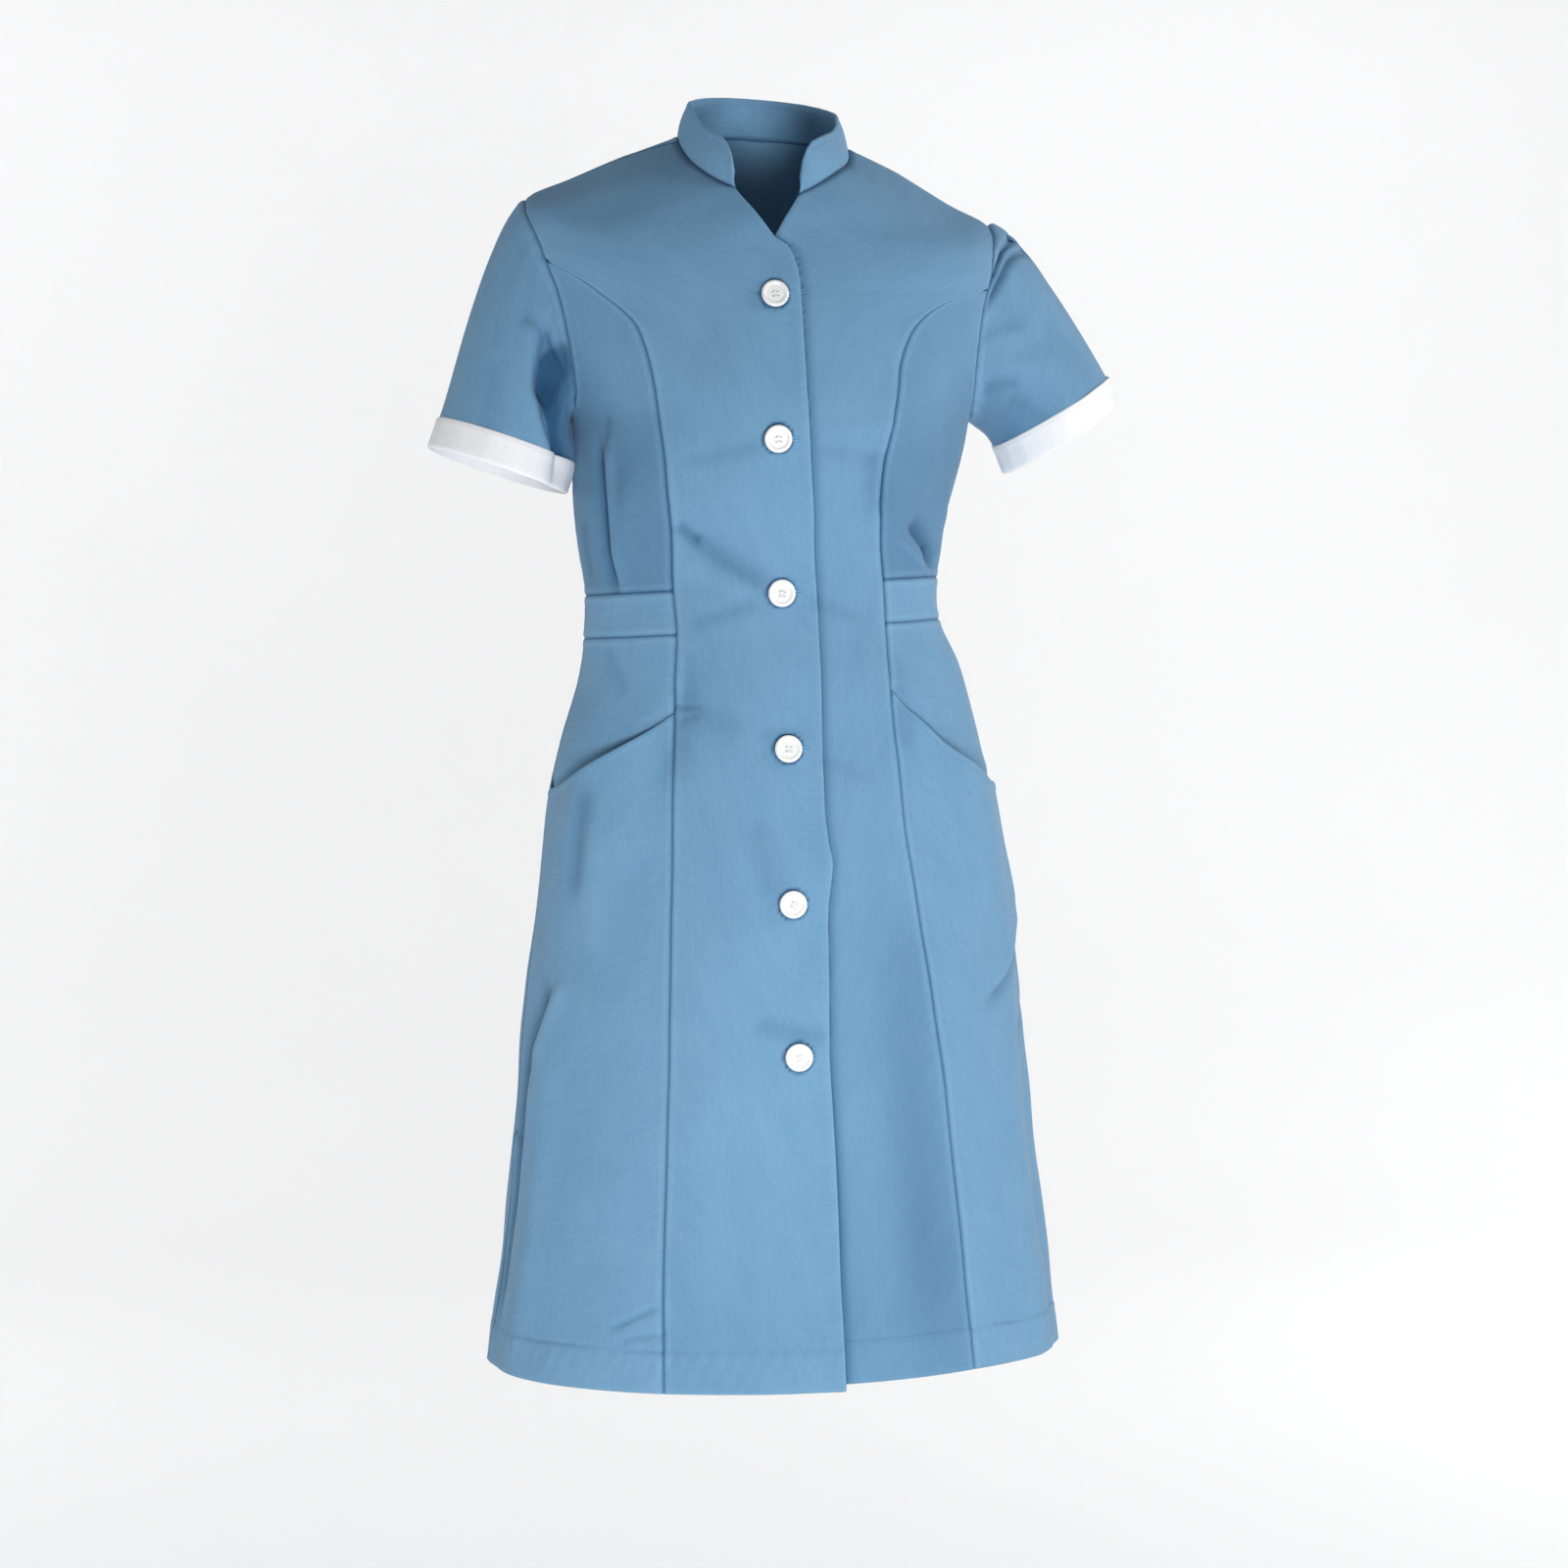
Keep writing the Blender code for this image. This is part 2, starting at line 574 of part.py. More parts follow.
def seam_start(points, edge_out, direction, half_wall):
    """Start of a piece that leaves a seam at an angle, far enough off to clear the other wall."""
    cosine = np.clip(np.sum(edge_out * direction, axis=-1), -0.5, 1.0)
    turn = np.arccos(cosine)
    clear = half_wall * np.tan(turn / 2) + 2 * SEAM_GAP
    return points + direction * clear[:, None]


def armhole_loop(side):
    """Armhole edge from the armpit up the front, over the tip and down the back."""
    front = upper_levels(side)[::-1]
    back = np.array([row[0] for row in ARMHOLE])
    levels = np.concatenate([front, np.sort(back)[::-1][1:-1]])
    is_front = np.arange(len(levels)) < len(front)
    front_angle = armhole_angle(levels, "front_angle")
    back_angle = math.pi - armhole_angle(levels, "back_angle")
    angle = side * np.where(is_front, front_angle, back_angle)
    points = body_point(levels, angle)
    normals = outward(body_point, levels, angle)
    ahead = unit(np.roll(points, -1, axis=0) - np.roll(points, 1, axis=0))
    edge_out = unit(np.cross(normals, ahead)) * (-side)
    return points, edge_out


def sleeve_fold(side_name, turn, way):
    total = np.zeros(np.broadcast(turn, way).shape)
    for turn_1, way_1, turn_2, way_2, width, depth in SLEEVE_FOLDS[side_name]:
        part = np.clip((way - way_1) / (way_2 - way_1), 0.0, 1.0)
        at_turn = turn_1 + (turn_2 - turn_1) * part
        across = (turn - at_turn + 0.5) % 1.0 - 0.5
        fade = ramp(way, way_1 - 0.02, way_1 + 0.25) * (1 - 0.75 * ramp(way, way_2 - 0.30, way_2 + 0.05))
        total = total + depth * fade * np.exp(-(across / width) ** 2)
    return total * ramp(way, 0.02, 0.25)


def cuff_ring(side, row, turn, drop=0.0):
    """Ring of a cuff: turn 0 is at the underarm, a quarter is in front and a half is outermost."""
    values = dict(zip(SLEEVE_COLUMNS, row))
    lean = math.radians(values["lean"])
    back = math.radians(values["lean_back"])
    hang = math.radians(values["hang"])
    axis = np.array([side * math.sin(lean) * math.cos(back), math.sin(back), -math.cos(lean) * math.cos(back)])
    outer = np.array([side * math.cos(lean), 0.0, math.sin(lean)])
    depth = np.cross(outer, axis) * (-side)
    down = np.array([side * math.sin(hang) * math.cos(back), math.sin(back), -math.cos(hang) * math.cos(back)])
    centre = np.array([values["centre_x"], values["centre_y"], values["centre_z"]])
    angle = 2 * math.pi * turn[:, None]
    grow = values["flare"] * drop / CUFF_DEPTH
    spread = -np.cos(angle) * outer * (values["half_width"] + grow)
    spread = spread + np.sin(angle) * depth * (values["half_depth"] + grow)
    return centre + spread + down * drop, axis


def loop_share(points):
    """Share of the way round a closed loop at each of its points."""
    gaps = np.linalg.norm(np.roll(points, -1, axis=0) - points, axis=1)
    return np.concatenate([[0.0], np.cumsum(gaps)[:-1]]) / gaps.sum()


def sleeves():
    """Set-in sleeves from the armholes to the cuffs, and the turned white cuffs on their ends."""
    for row in SLEEVES:
        name = row[0]
        side = -1 if name == "right" else 1
        start, edge_out = armhole_loop(side)
        turn = loop_share(start)
        end, axis = cuff_ring(side, row, turn)
        cap = 1 - ramp(np.abs(turn - 0.5), 0.08, 0.34)[:, None]
        outward_pull = np.array([side, 0.0, 0.0]) * (0.55 + 0.55 * cap)
        cap_rise = row[SLEEVE_COLUMNS.index("cap_rise")] * cap ** 2
        outward_pull = outward_pull + np.array([0.0, 0.0, 1.0]) * cap_rise
        from_edge = 1 - ramp(np.abs(turn - 0.5), 0.22, 0.48)[:, None]
        lead = unit(edge_out * from_edge + outward_pull + axis * (0.8 - 0.8 * np.maximum(cap, 0.6 * from_edge)))
        start = seam_start(start, edge_out, lead, WALL / 2)
        reach = np.linalg.norm(end - start, axis=1)[:, None]
        way = np.concatenate([[0.0, 0.06, 0.14], np.linspace(0.26, 1.0, 8)])
        t = way[:, None, None]
        leave = lead * np.minimum(reach * 0.9, 0.074)
        arrive = axis * np.minimum(reach * 1.0, 0.110)
        points = (start * (1 + 2 * t) * (1 - t) ** 2 + leave * t * (1 - t) ** 2
                  + end * t * t * (3 - 2 * t) + arrive * t * t * (t - 1))
        faces_out = grid_normals(points, side)
        lift = sleeve_fold(name, turn[None, :], way[:, None])
        points = points + faces_out * lift[..., None]
        faces_out = grid_normals(points, side)
        made = wall_mesh(points, faces_out, WALL, closed=True)
        add_object("sleeve_" + name, made, CLOTH_BLUE, 0.72)
        cuff(name, side, row, turn)


def grid_normals(points, side):
    """Outward normals of a sleeve grid from its neighbouring points."""
    round_ = np.roll(points, -1, axis=1) - np.roll(points, 1, axis=1)
    down = np.gradient(points, axis=0)
    return unit(np.cross(down, round_)) * (-side)


def cuff(name, side, row, turn):
    """White turned-up band that follows the sleeve's end."""
    drops = np.linspace(3 * SEAM_GAP, CUFF_DEPTH, 4)
    points = np.stack([cuff_ring(side, row, turn, drop)[0] for drop in drops])
    add_object("cuff_" + name, wall_mesh(points, grid_normals(points, side), CUFF_WALL, closed=True),
               CUFF_WHITE, 0.75)


def collar():
    """Stand collar on the neck seam, with rounded front ends."""
    start = float(opening_angle(np.array([NECK_LEVEL]), "upper_x")[0])
    end = float(opening_angle(np.array([NECK_LEVEL]), "lower_x")[0])
    right = np.linspace(start, -math.pi / 2, FRONT_COLUMNS)
    back = np.linspace(-math.pi / 2, -3 * math.pi / 2, BACK_COLUMNS)
    left = np.linspace(math.pi / 2, end, FRONT_COLUMNS) - 2 * math.pi
    angle = np.concatenate([right, back[1:-1], left])
    level = np.full(angle.shape, NECK_LEVEL)
    base = body_point(level, angle)
    normals = outward(body_point, level, angle)
    ahead = unit(np.gradient(base, axis=0))
    edge_out = unit(np.cross(ahead, normals))
    edge_out = edge_out * np.where(edge_out[:, 2:3] < 0, -1.0, 1.0)
    gaps = np.linalg.norm(np.diff(base, axis=0), axis=1)
    travelled = np.concatenate([[0.0], np.cumsum(gaps)])
    distance = np.minimum(travelled, travelled[-1] - travelled)
    knots = column(COLLAR, COLLAR_COLUMNS, "distance")
    height = np.interp(distance, knots, column(COLLAR, COLLAR_COLUMNS, "height"))
    lean = np.interp(distance, knots, column(COLLAR, COLLAR_COLUMNS, "lean_in"))
    centre = np.array([0.002, 0.002, 0.0])
    inward = unit((centre - base) * np.array([1.0, 1.0, 0.0]))
    rise = unit(np.array([0.0, 0.0, 1.0]) + inward * lean[:, None])
    foot = seam_start(base, edge_out, rise, COLLAR_WALL / 2)
    steps = np.array([0.0, 0.22, 0.48, 0.74, 1.0])[:, None, None]
    bow = -unit(np.cross(ahead, rise)) * np.sign(np.sum(np.cross(ahead, rise) * inward, axis=1))[:, None]
    points = foot + rise * height[:, None] * steps + bow * (0.0012 * np.sin(math.pi * steps))
    add_object("collar", wall_mesh(points, np.broadcast_to(bow, points.shape), COLLAR_WALL), CLOTH_BLUE, 0.72)


def buttons():
    """Six sewn-through buttons with a raised rim, seated on the upper front."""
    radius = BUTTON_DIAMETER / 2
    half = BUTTON_THICKNESS / 2
    profile = ((0.0, -half), (radius * 0.86, -half), (radius, 0.0), (radius * 0.92, half),
               (radius * 0.72, half * 0.45), (0.0, half * 0.35))
    sides = 18
    for number, (x, height) in enumerate(BUTTONS, start=1):
        level = np.array([height])
        angle = angle_where_x(level, lambda z, x=x: np.full(z.shape, x))
        lap = lap_shift(1)(level, angle, body_point(level, angle))
        normal = outward(body_point, level, angle)[0]
        seat = body_point(level, angle)[0] + normal * (lap[0] + WALL / 2 + BUTTON_STANDOFF + half)
        across = unit(np.cross(np.array([0.0, 0.0, 1.0]), normal))
        up = np.cross(normal, across)
        made = bmesh.new()
        rings = []
        for r, z in profile:
            if r == 0.0:
                rings.append([made.verts.new(seat + normal * z)])
                continue
            turns = [2 * math.pi * i / sides for i in range(sides)]
            rings.append([made.verts.new(seat + normal * z + (across * math.cos(a) + up * math.sin(a)) * r)
                          for a in turns])
        for low, high in zip(rings, rings[1:]):
            for i in range(sides):
                j = (i + 1) % sides
                if len(low) == 1:
                    made.faces.new((low[0], high[j], high[i]))
                elif len(high) == 1:
                    made.faces.new((low[i], low[j], high[0]))
                else:
                    made.faces.new((low[i], low[j], high[j], high[i]))
        bmesh.ops.triangulate(made, faces=made.faces)
        add_object("button_%d" % number, made, BUTTON_WHITE, 0.3, 50.0)


def main():
    for old in list(bpy.data.objects):
        bpy.data.objects.remove(old, do_unlink=True)
    fronts()
    side_fronts()
    backs()
    sleeves()
    collar()
    buttons()


main()
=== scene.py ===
import math
import bpy
import numpy as np
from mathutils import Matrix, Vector


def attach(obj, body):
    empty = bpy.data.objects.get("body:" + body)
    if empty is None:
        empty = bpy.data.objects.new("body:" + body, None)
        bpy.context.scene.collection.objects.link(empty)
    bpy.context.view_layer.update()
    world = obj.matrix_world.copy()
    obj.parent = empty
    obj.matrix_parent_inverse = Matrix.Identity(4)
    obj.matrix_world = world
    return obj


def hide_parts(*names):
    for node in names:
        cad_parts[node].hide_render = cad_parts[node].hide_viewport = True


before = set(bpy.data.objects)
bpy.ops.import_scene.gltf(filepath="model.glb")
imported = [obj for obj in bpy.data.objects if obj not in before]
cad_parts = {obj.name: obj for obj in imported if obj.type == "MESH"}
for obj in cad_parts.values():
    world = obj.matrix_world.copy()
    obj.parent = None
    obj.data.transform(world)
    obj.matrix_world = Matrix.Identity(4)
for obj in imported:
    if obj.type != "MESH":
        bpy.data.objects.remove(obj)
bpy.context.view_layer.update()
print("frame loaded,", len(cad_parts), "nodes")


# camera, floor and light

view = {
    "place": (-0.4305, -2.8376, -0.3393),
    "turn": 9.0,                # degrees off the front, towards the right sleeve
    "tip": 2.76,                # degrees down
    "focalPixels": 3684.0,      # for an image imageWidth pixels wide
    "imageWidth": 1600.0,
    "sensorWidth": 36.0,
    "farthest": 60.0,
    "floorLevel": -1.43,
}


def addCamera():
    data = bpy.data.cameras.new("view")
    data.sensor_width = view["sensorWidth"]
    data.lens = view["focalPixels"] / view["imageWidth"] * view["sensorWidth"]
    data.clip_end = view["farthest"]
    turn, tip = math.radians(view["turn"]), math.radians(view["tip"])
    ahead = Vector((math.sin(turn) * math.cos(tip), math.cos(turn) * math.cos(tip), -math.sin(tip)))
    camera = bpy.data.objects.new("view", data)
    camera.location = view["place"]
    camera.rotation_euler = ahead.to_track_quat("-Z", "Y").to_euler()
    bpy.context.scene.collection.objects.link(camera)
    bpy.context.scene.camera = camera


lamps = {
    "columns": ("name", "place", "aim", "size", "power", "colour"),
    "rows": (
        ("frontLamp", (-0.10, -1.80, -0.80), (0.0, 0.0, -0.54), 0.55, 24.0, (1.0, 1.0, 1.0)),
        ("keyLamp", (2.10, -0.70, 0.85), (0.0, 0.0, -0.45), 0.7, 23.0, (1.0, 0.995, 0.98)),
        ("wallLampLeft", (-3.4, 1.4, 0.9), (0.0, 5.2, -0.6), 1.8, 104.0, (1.0, 1.0, 1.0)),
        ("wallLampRight", (3.4, 1.4, 0.9), (0.0, 5.2, -0.6), 1.8, 104.0, (1.0, 1.0, 1.0)),
    ),
    "sky": (0.985, 0.99, 1.0),
    "skyStrength": 0.22,
}


def addLight():
    for name, place, aim, size, power, colour in lamps["rows"]:
        data = bpy.data.lights.new(name, "AREA")
        data.shape = "DISK"
        data.size = size
        data.energy = power
        data.color = colour
        lamp = bpy.data.objects.new(name, data)
        lamp.location = place
        lamp.visible_camera = False
        lamp.rotation_euler = (Vector(aim) - Vector(place)).to_track_quat("-Z", "Y").to_euler()
        bpy.context.scene.collection.objects.link(lamp)
    world = bpy.data.worlds.new("sky")
    world.use_nodes = True
    world.node_tree.nodes["Background"].inputs["Color"].default_value = (*lamps["sky"], 1.0)
    world.node_tree.nodes["Background"].inputs["Strength"].default_value = lamps["skyStrength"]
    bpy.context.scene.world = world
    bpy.context.scene.view_settings.view_transform = "Standard"


addCamera()
addLight()
print("camera and light placed")


# materials

class Shade:
    # a value in a material's nodes: + - * add Math nodes, and node() adds any other one

    def __init__(self, tree, socket=None):
        self.tree = tree
        self.socket = socket

    def node(self, kind, settings, values, output=0):
        made = self.tree.nodes.new(kind)
        for name, setting in settings.items():
            setattr(made, name, setting)
        for key, value in values.items():
            if isinstance(value, Shade):
                self.tree.links.new(value.socket, made.inputs[key])
            else:
                made.inputs[key].default_value = value
        return Shade(self.tree, made.outputs[output])

    def maths(self, operation, first, second=0.0):
        return self.node("ShaderNodeMath", {"operation": operation}, {0: first, 1: second})

    def __add__(self, other):
        return self.maths("ADD", self, other)

    def __radd__(self, other):
        return self.maths("ADD", other, self)

    def __sub__(self, other):
        return self.maths("SUBTRACT", self, other)

    def __mul__(self, other):
        return self.maths("MULTIPLY", self, other)

    def clamped(self):
        return self.maths("MINIMUM", self.maths("MAXIMUM", self, 0.0), 1.0)


# each cloth's darkest colour is painted shade for seams, creases and hollows, and its palest is painted
# highlight and wear on ridges and edges
clothLooks = {
    "blueCloth": {"deep": (0.122, 0.278, 0.450), "light": (0.174, 0.342, 0.518), "rough": 0.80,
                  "seam": (0.026, 0.092, 0.190), "worn": (0.262, 0.440, 0.610), "sheen": 0.08},
    "whiteCloth": {"deep": (0.84, 0.85, 0.88), "light": (0.93, 0.935, 0.95), "rough": 0.82,
                   "seam": (0.50, 0.52, 0.58), "worn": (0.95, 0.95, 0.95), "sheen": 0.06},
}


weave = {   # noise scales across and along the cloth, with their detail
    "warp": (430.0, 30.0, 2.0),
    "weft": (40.0, 390.0, 2.0),
    "grain": (300.0, 300.0, 3.0),
    "broad": (30.0, 24.0, 4.0),
    "fine": (1500.0, 1500.0, 1.0),
    "tones": {"slub": 0.60, "grain": 0.55, "broad": 0.60},
    "heights": {"slub": 0.45, "grain": 0.30, "broad": 0.8, "fine": 0.25},
    "warpShare": 0.8,
    "roughSlub": 0.10,
    "roughShadeAndWear": 0.08,
    "bump": (0.55, 0.00045),
    "sheenRough": 0.45,
    "specular": 0.18,
}


class Finish:
    # a new material with a Principled shader; feed() links a Shade or sets a plain value

    def __init__(self, name):
        self.made = bpy.data.materials.new(name)
        self.made.use_nodes = True
        self.shade = Shade(self.made.node_tree)
        self.shader = self.made.node_tree.nodes["Principled BSDF"]

    def feed(self, values):
        for name, value in values.items():
            if isinstance(value, Shade):
                self.shade.tree.links.new(value.socket, self.shader.inputs[name])
            else:
                self.shader.inputs[name].default_value = value

    def mix(self, factor, first, second):
        # colours go through a Mix node: first at 0, second at 1
        values = {0: factor, 6: first, 7: second}
        for key in (6, 7):
            if not isinstance(values[key], Shade):
                values[key] = (*values[key], 1.0)
        return self.shade.node("ShaderNodeMix", {"data_type": "RGBA"}, values, output=2)

    def cloud(self, scale, detail):
        # noise on the object's own place, in metres
        place = self.shade.node("ShaderNodeTexCoord", {}, {}, output=3)
        return self.shade.node("ShaderNodeTexNoise", {}, {"Vector": place, "Scale": scale, "Detail": detail})

    def bump(self, strength, distance, height):
        values = {"Strength": strength, "Distance": distance, "Height": height}
        return self.shade.node("ShaderNodeBump", {}, values)


def addCloth(name):
    # plain weave from the piece's own UV map in metres: slubs along both thread directions, slow
    # mottling, and from the painted shade and wear attribute: painted shade in grooves, creases and hollows,
    # and paler ridges and edges that are partly painted highlight and partly wear
    look = clothLooks[name]
    finish = Finish(name)
    shade = finish.shade
    across = shade.node("ShaderNodeUVMap", {"uv_map": "cloth"}, {})

    def noise(key):
        wide, long, detail = weave[key]
        stretched = shade.node("ShaderNodeMapping", {}, {"Vector": across, "Scale": (wide, long, 1.0)})
        values = {"Vector": stretched, "Scale": 1.0, "Detail": detail, "Roughness": 0.6}
        return shade.node("ShaderNodeTexNoise", {"noise_dimensions": "2D"}, values) - 0.5

    parts = {key: noise(key) for key in ("warp", "weft", "grain", "broad", "fine")}
    parts["slub"] = parts["warp"] * weave["warpShare"] + parts["weft"]
    paintedShadeAndWear = shade.node("ShaderNodeAttribute", {"attribute_name": "paintedShadeAndWear"}, {}, output=2)
    tone = sum(parts[key] * size for key, size in weave["tones"].items()) + 0.5
    colour = finish.mix(tone.clamped(), look["deep"], look["light"])
    # painted shade darkens the colour; painted highlight and wear make it paler
    colour = finish.mix((paintedShadeAndWear * -1.0).clamped(), colour, look["seam"])
    colour = finish.mix(paintedShadeAndWear.clamped(), colour, look["worn"])
    height = sum(parts[key] * size for key, size in weave["heights"].items())
    rough = look["rough"] + parts["slub"] * weave["roughSlub"] - paintedShadeAndWear * weave["roughShadeAndWear"]
    finish.feed({
        "Base Color": colour,
        "Roughness": rough.clamped(),
        "Sheen Weight": look["sheen"],
        "Sheen Roughness": weave["sheenRough"],
        "Specular IOR Level": weave["specular"],
        "Normal": finish.bump(*weave["bump"], height),
    })
    return finish.made


plastic = {"colour": (0.80, 0.805, 0.81), "warm": (0.84, 0.84, 0.835), "rough": 0.26, "coat": 0.25,
           "cloud": (160.0, 3.0), "marks": (2600.0, 2.0), "roughMarks": 0.12, "bump": (0.15, 0.0001)}


def addPlastic():
    # cast resin: nearly white, with faint clouding and fine polishing marks
    finish = Finish("buttonResin")
    marks = finish.cloud(*plastic["marks"])
    finish.feed({
        "Base Color": finish.mix(finish.cloud(*plastic["cloud"]), plastic["colour"], plastic["warm"]),
        "Roughness": plastic["rough"] + (marks - 0.5) * plastic["roughMarks"],
        "Coat Weight": plastic["coat"],
        "Normal": finish.bump(*plastic["bump"], marks),
    })
    return finish.made


threadLooks = {
    "blueThread": {"deep": (0.085, 0.235, 0.425), "light": (0.175, 0.375, 0.600), "rough": 0.62},
    "whiteThread": {"deep": (0.60, 0.61, 0.65), "light": (0.86, 0.86, 0.88), "rough": 0.6},
}
threadGrain = {"fibre": (5200.0, 2.0), "rough": 0.2, "sheen": 0.2, "bump": (0.4, 0.0001)}


def addThread(name):
    # spun polyester thread: fine fibres as noise
    look = threadLooks[name]
    finish = Finish(name)
    fibre = finish.cloud(*threadGrain["fibre"])
    finish.feed({
        "Base Color": finish.mix(fibre, look["deep"], look["light"]),
        "Roughness": look["rough"] + (fibre - 0.5) * threadGrain["rough"],
        "Sheen Weight": threadGrain["sheen"],
        "Normal": finish.bump(*threadGrain["bump"], fibre),
    })
    return finish.made


floorLook = {
    "low": (0.93, 0.93, 0.935),
    "high": (0.955, 0.955, 0.96),
    "rough": 0.8,
    "side": 9.0,
    "near": -6.0,
    "rows": 61,
    "columns": 13,
    "cloud": (1.3, 3.0),
    "bendFrom": 3.2,
    "bendRun": 3.6,
    "bendSize": 2.4,
    "wallSlope": 2.2,
}


def gridQuads(index):
    # the four corners of each cell in a grid of vertex numbers
    return np.stack([index[:-1, :-1], index[:-1, 1:], index[1:, 1:], index[1:, :-1]], axis=-1).reshape(-1, 4)


def addFloor():
    # a flat floor that bends up softly into a wall behind, by the sine and cosine of the distance back
    finish = Finish("paleFloor")
    cloud = finish.cloud(*floorLook["cloud"])
    finish.feed({"Base Color": finish.mix(cloud, floorLook["low"], floorLook["high"]),
                 "Roughness": floorLook["rough"]})
    side, bendFrom, bendRun, size = (floorLook[name] for name in ("side", "bendFrom", "bendRun", "bendSize"))
    back, along = np.meshgrid(np.linspace(floorLook["near"], side, floorLook["rows"]),
                              np.linspace(-side, side, floorLook["columns"]), indexing="ij")
    turn = np.clip((back - bendFrom) / bendRun, 0.0, 1.0) * math.pi / 2
    y = np.minimum(back, bendFrom + size * np.sin(turn))
    beyond = np.maximum(back - bendFrom - bendRun, 0.0)
    z = view["floorLevel"] + size * (1 - np.cos(turn)) + beyond * floorLook["wallSlope"]
    points = np.stack([along, y, z], axis=-1).reshape(-1, 3)
    quads = gridQuads(np.arange(len(points)).reshape(back.shape))
    mesh = bpy.data.meshes.new("studioFloor")
    mesh.from_pydata(points.tolist(), [], quads.tolist())
    mesh.shade_smooth()
    mesh.materials.append(finish.made)
    floor = bpy.data.objects.new("studioFloor", mesh)
    bpy.context.scene.collection.objects.link(floor)


finishes = {"buttonResin": addPlastic()}
for clothName in clothLooks:
    finishes[clothName] = addCloth(clothName)
for threadName in threadLooks:
    finishes[threadName] = addThread(threadName)
addFloor()
print("materials made")


# the worn form that every panel lies on

form = {
    "wall": 0.0018,
    "lapGap": 0.0007,
    "hemLevel": -0.929,
    "waistTop": -0.3205,
    "waistBottom": -0.354,
    "armholeLow": -0.186,
    "tipLevel": -0.066,
    "neckLevel": -0.022,
    "neckLift": 0.009,
    "neckLiftFrom": -0.052,
    "leftHemRise": 0.0045,
    "roundness": 0.9,       # mean radius as a share of the half width
    "angleSteps": 12,
    "foldRadius": 0.15,     # metres, for the slant of a large fold
}

rings = {
    "columns": ("level", "sideX", "sideZ", "frontY", "backY", "backZ", "centreX", "tilt"),
    "rows": (
        (-0.022, 0.067, 0.0265, 0.078, 0.062, 0.040, 0.0020, -0.045),
        (-0.036, 0.107, 0.0114, 0.086, 0.080, 0.019, 0.0010, -0.048),
        (-0.050, 0.150, -0.0104, 0.092, 0.094, -0.004, 0.0000, -0.049),
        (-0.066, 0.184, -0.0270, 0.099, 0.104, -0.030, -0.0010, -0.040),
        (-0.080, 0.191, -0.0500, 0.105, 0.110, -0.056, 0.0000, -0.030),
        (-0.107, 0.187, -0.0930, 0.113, 0.114, -0.100, 0.0015, -0.018),
        (-0.146, 0.176, -0.1440, 0.123, 0.114, -0.146, 0.0040, -0.006),
        (-0.170, 0.166, -0.1700, 0.128, 0.113, -0.170, 0.0060, 0.000),
        (-0.186, 0.1585, -0.1860, 0.130, 0.112, -0.186, 0.0070, 0.004),
        (-0.210, 0.1545, -0.2100, 0.130, 0.109, -0.210, 0.0062, 0.012),
        (-0.246, 0.1505, -0.2460, 0.123, 0.102, -0.246, 0.0030, 0.026),
        (-0.285, 0.1440, -0.2850, 0.110, 0.094, -0.285, 0.0002, 0.042),
        (-0.3205, 0.1392, -0.3205, 0.104, 0.089, -0.3205, 0.0010, 0.054),
        (-0.354, 0.1406, -0.3540, 0.106, 0.091, -0.354, 0.0011, 0.054),
        (-0.390, 0.1516, -0.3900, 0.112, 0.101, -0.390, 0.0071, 0.046),
        (-0.440, 0.1660, -0.4400, 0.119, 0.116, -0.440, 0.0068, 0.034),
        (-0.495, 0.1765, -0.4950, 0.128, 0.127, -0.495, 0.0077, 0.024),
        (-0.560, 0.1873, -0.5600, 0.136, 0.133, -0.560, 0.0102, 0.014),
        (-0.640, 0.1971, -0.6400, 0.145, 0.139, -0.640, 0.0114, 0.008),
        (-0.760, 0.2081, -0.7600, 0.156, 0.149, -0.760, 0.0114, 0.006),
        (-0.860, 0.2200, -0.8600, 0.165, 0.158, -0.860, 0.0130, 0.012),
        (-0.929, 0.2290, -0.9290, 0.172, 0.165, -0.929, 0.0110, 0.016),
    ),
}

armhole = {
    "columns": ("level", "frontAngle", "backAngle"),
    "rows": (
        (-0.066, 90.0, 90.0),
        (-0.0705, 78.0, 78.0),
        (-0.078, 70.0, 71.0),
        (-0.087, 66.3, 67.5),
        (-0.097, 64.2, 65.2),
        (-0.107, 63.0, 64.0),
        (-0.117, 62.5, 63.4),
        (-0.129, 62.7, 63.0),
        (-0.146, 64.0, 64.0),
        (-0.162, 67.5, 67.5),
        (-0.175, 73.0, 73.0),
        (-0.183, 81.0, 81.0),
        (-0.186, 90.0, 90.0),
    ),
}

princess = {
    "columns": ("height", "rightX", "leftX"),
    "rows": (
        (-0.062, 0.1900, 0.2100),
        (-0.0708, 0.1730, 0.2000),
        (-0.080, 0.1585, 0.1850),
        (-0.090, 0.1440, 0.1665),
        (-0.098, 0.1345, 0.1415),
        (-0.108, 0.1225, 0.1218),
        (-0.119, 0.1120, 0.1085),
        (-0.136, 0.1045, 0.0978),
        (-0.151, 0.1005, 0.0928),
        (-0.171, 0.0967, 0.0900),
        (-0.196, 0.0930, 0.0851),
        (-0.223, 0.0887, 0.0800),
        (-0.251, 0.0863, 0.0785),
        (-0.285, 0.0825, 0.0797),
        (-0.320, 0.0811, 0.0837),
        (-0.356, 0.0784, 0.0852),
        (-0.400, 0.0806, 0.0868),
        (-0.456, 0.0830, 0.0910),
        (-0.504, 0.0848, 0.0957),
        (-0.566, 0.0866, 0.1039),
        (-0.630, 0.0881, 0.1141),
        (-0.690, 0.0899, 0.1228),
        (-0.841, 0.0957, 0.1377),
        (-0.929, 0.0973, 0.1460),
    ),
}

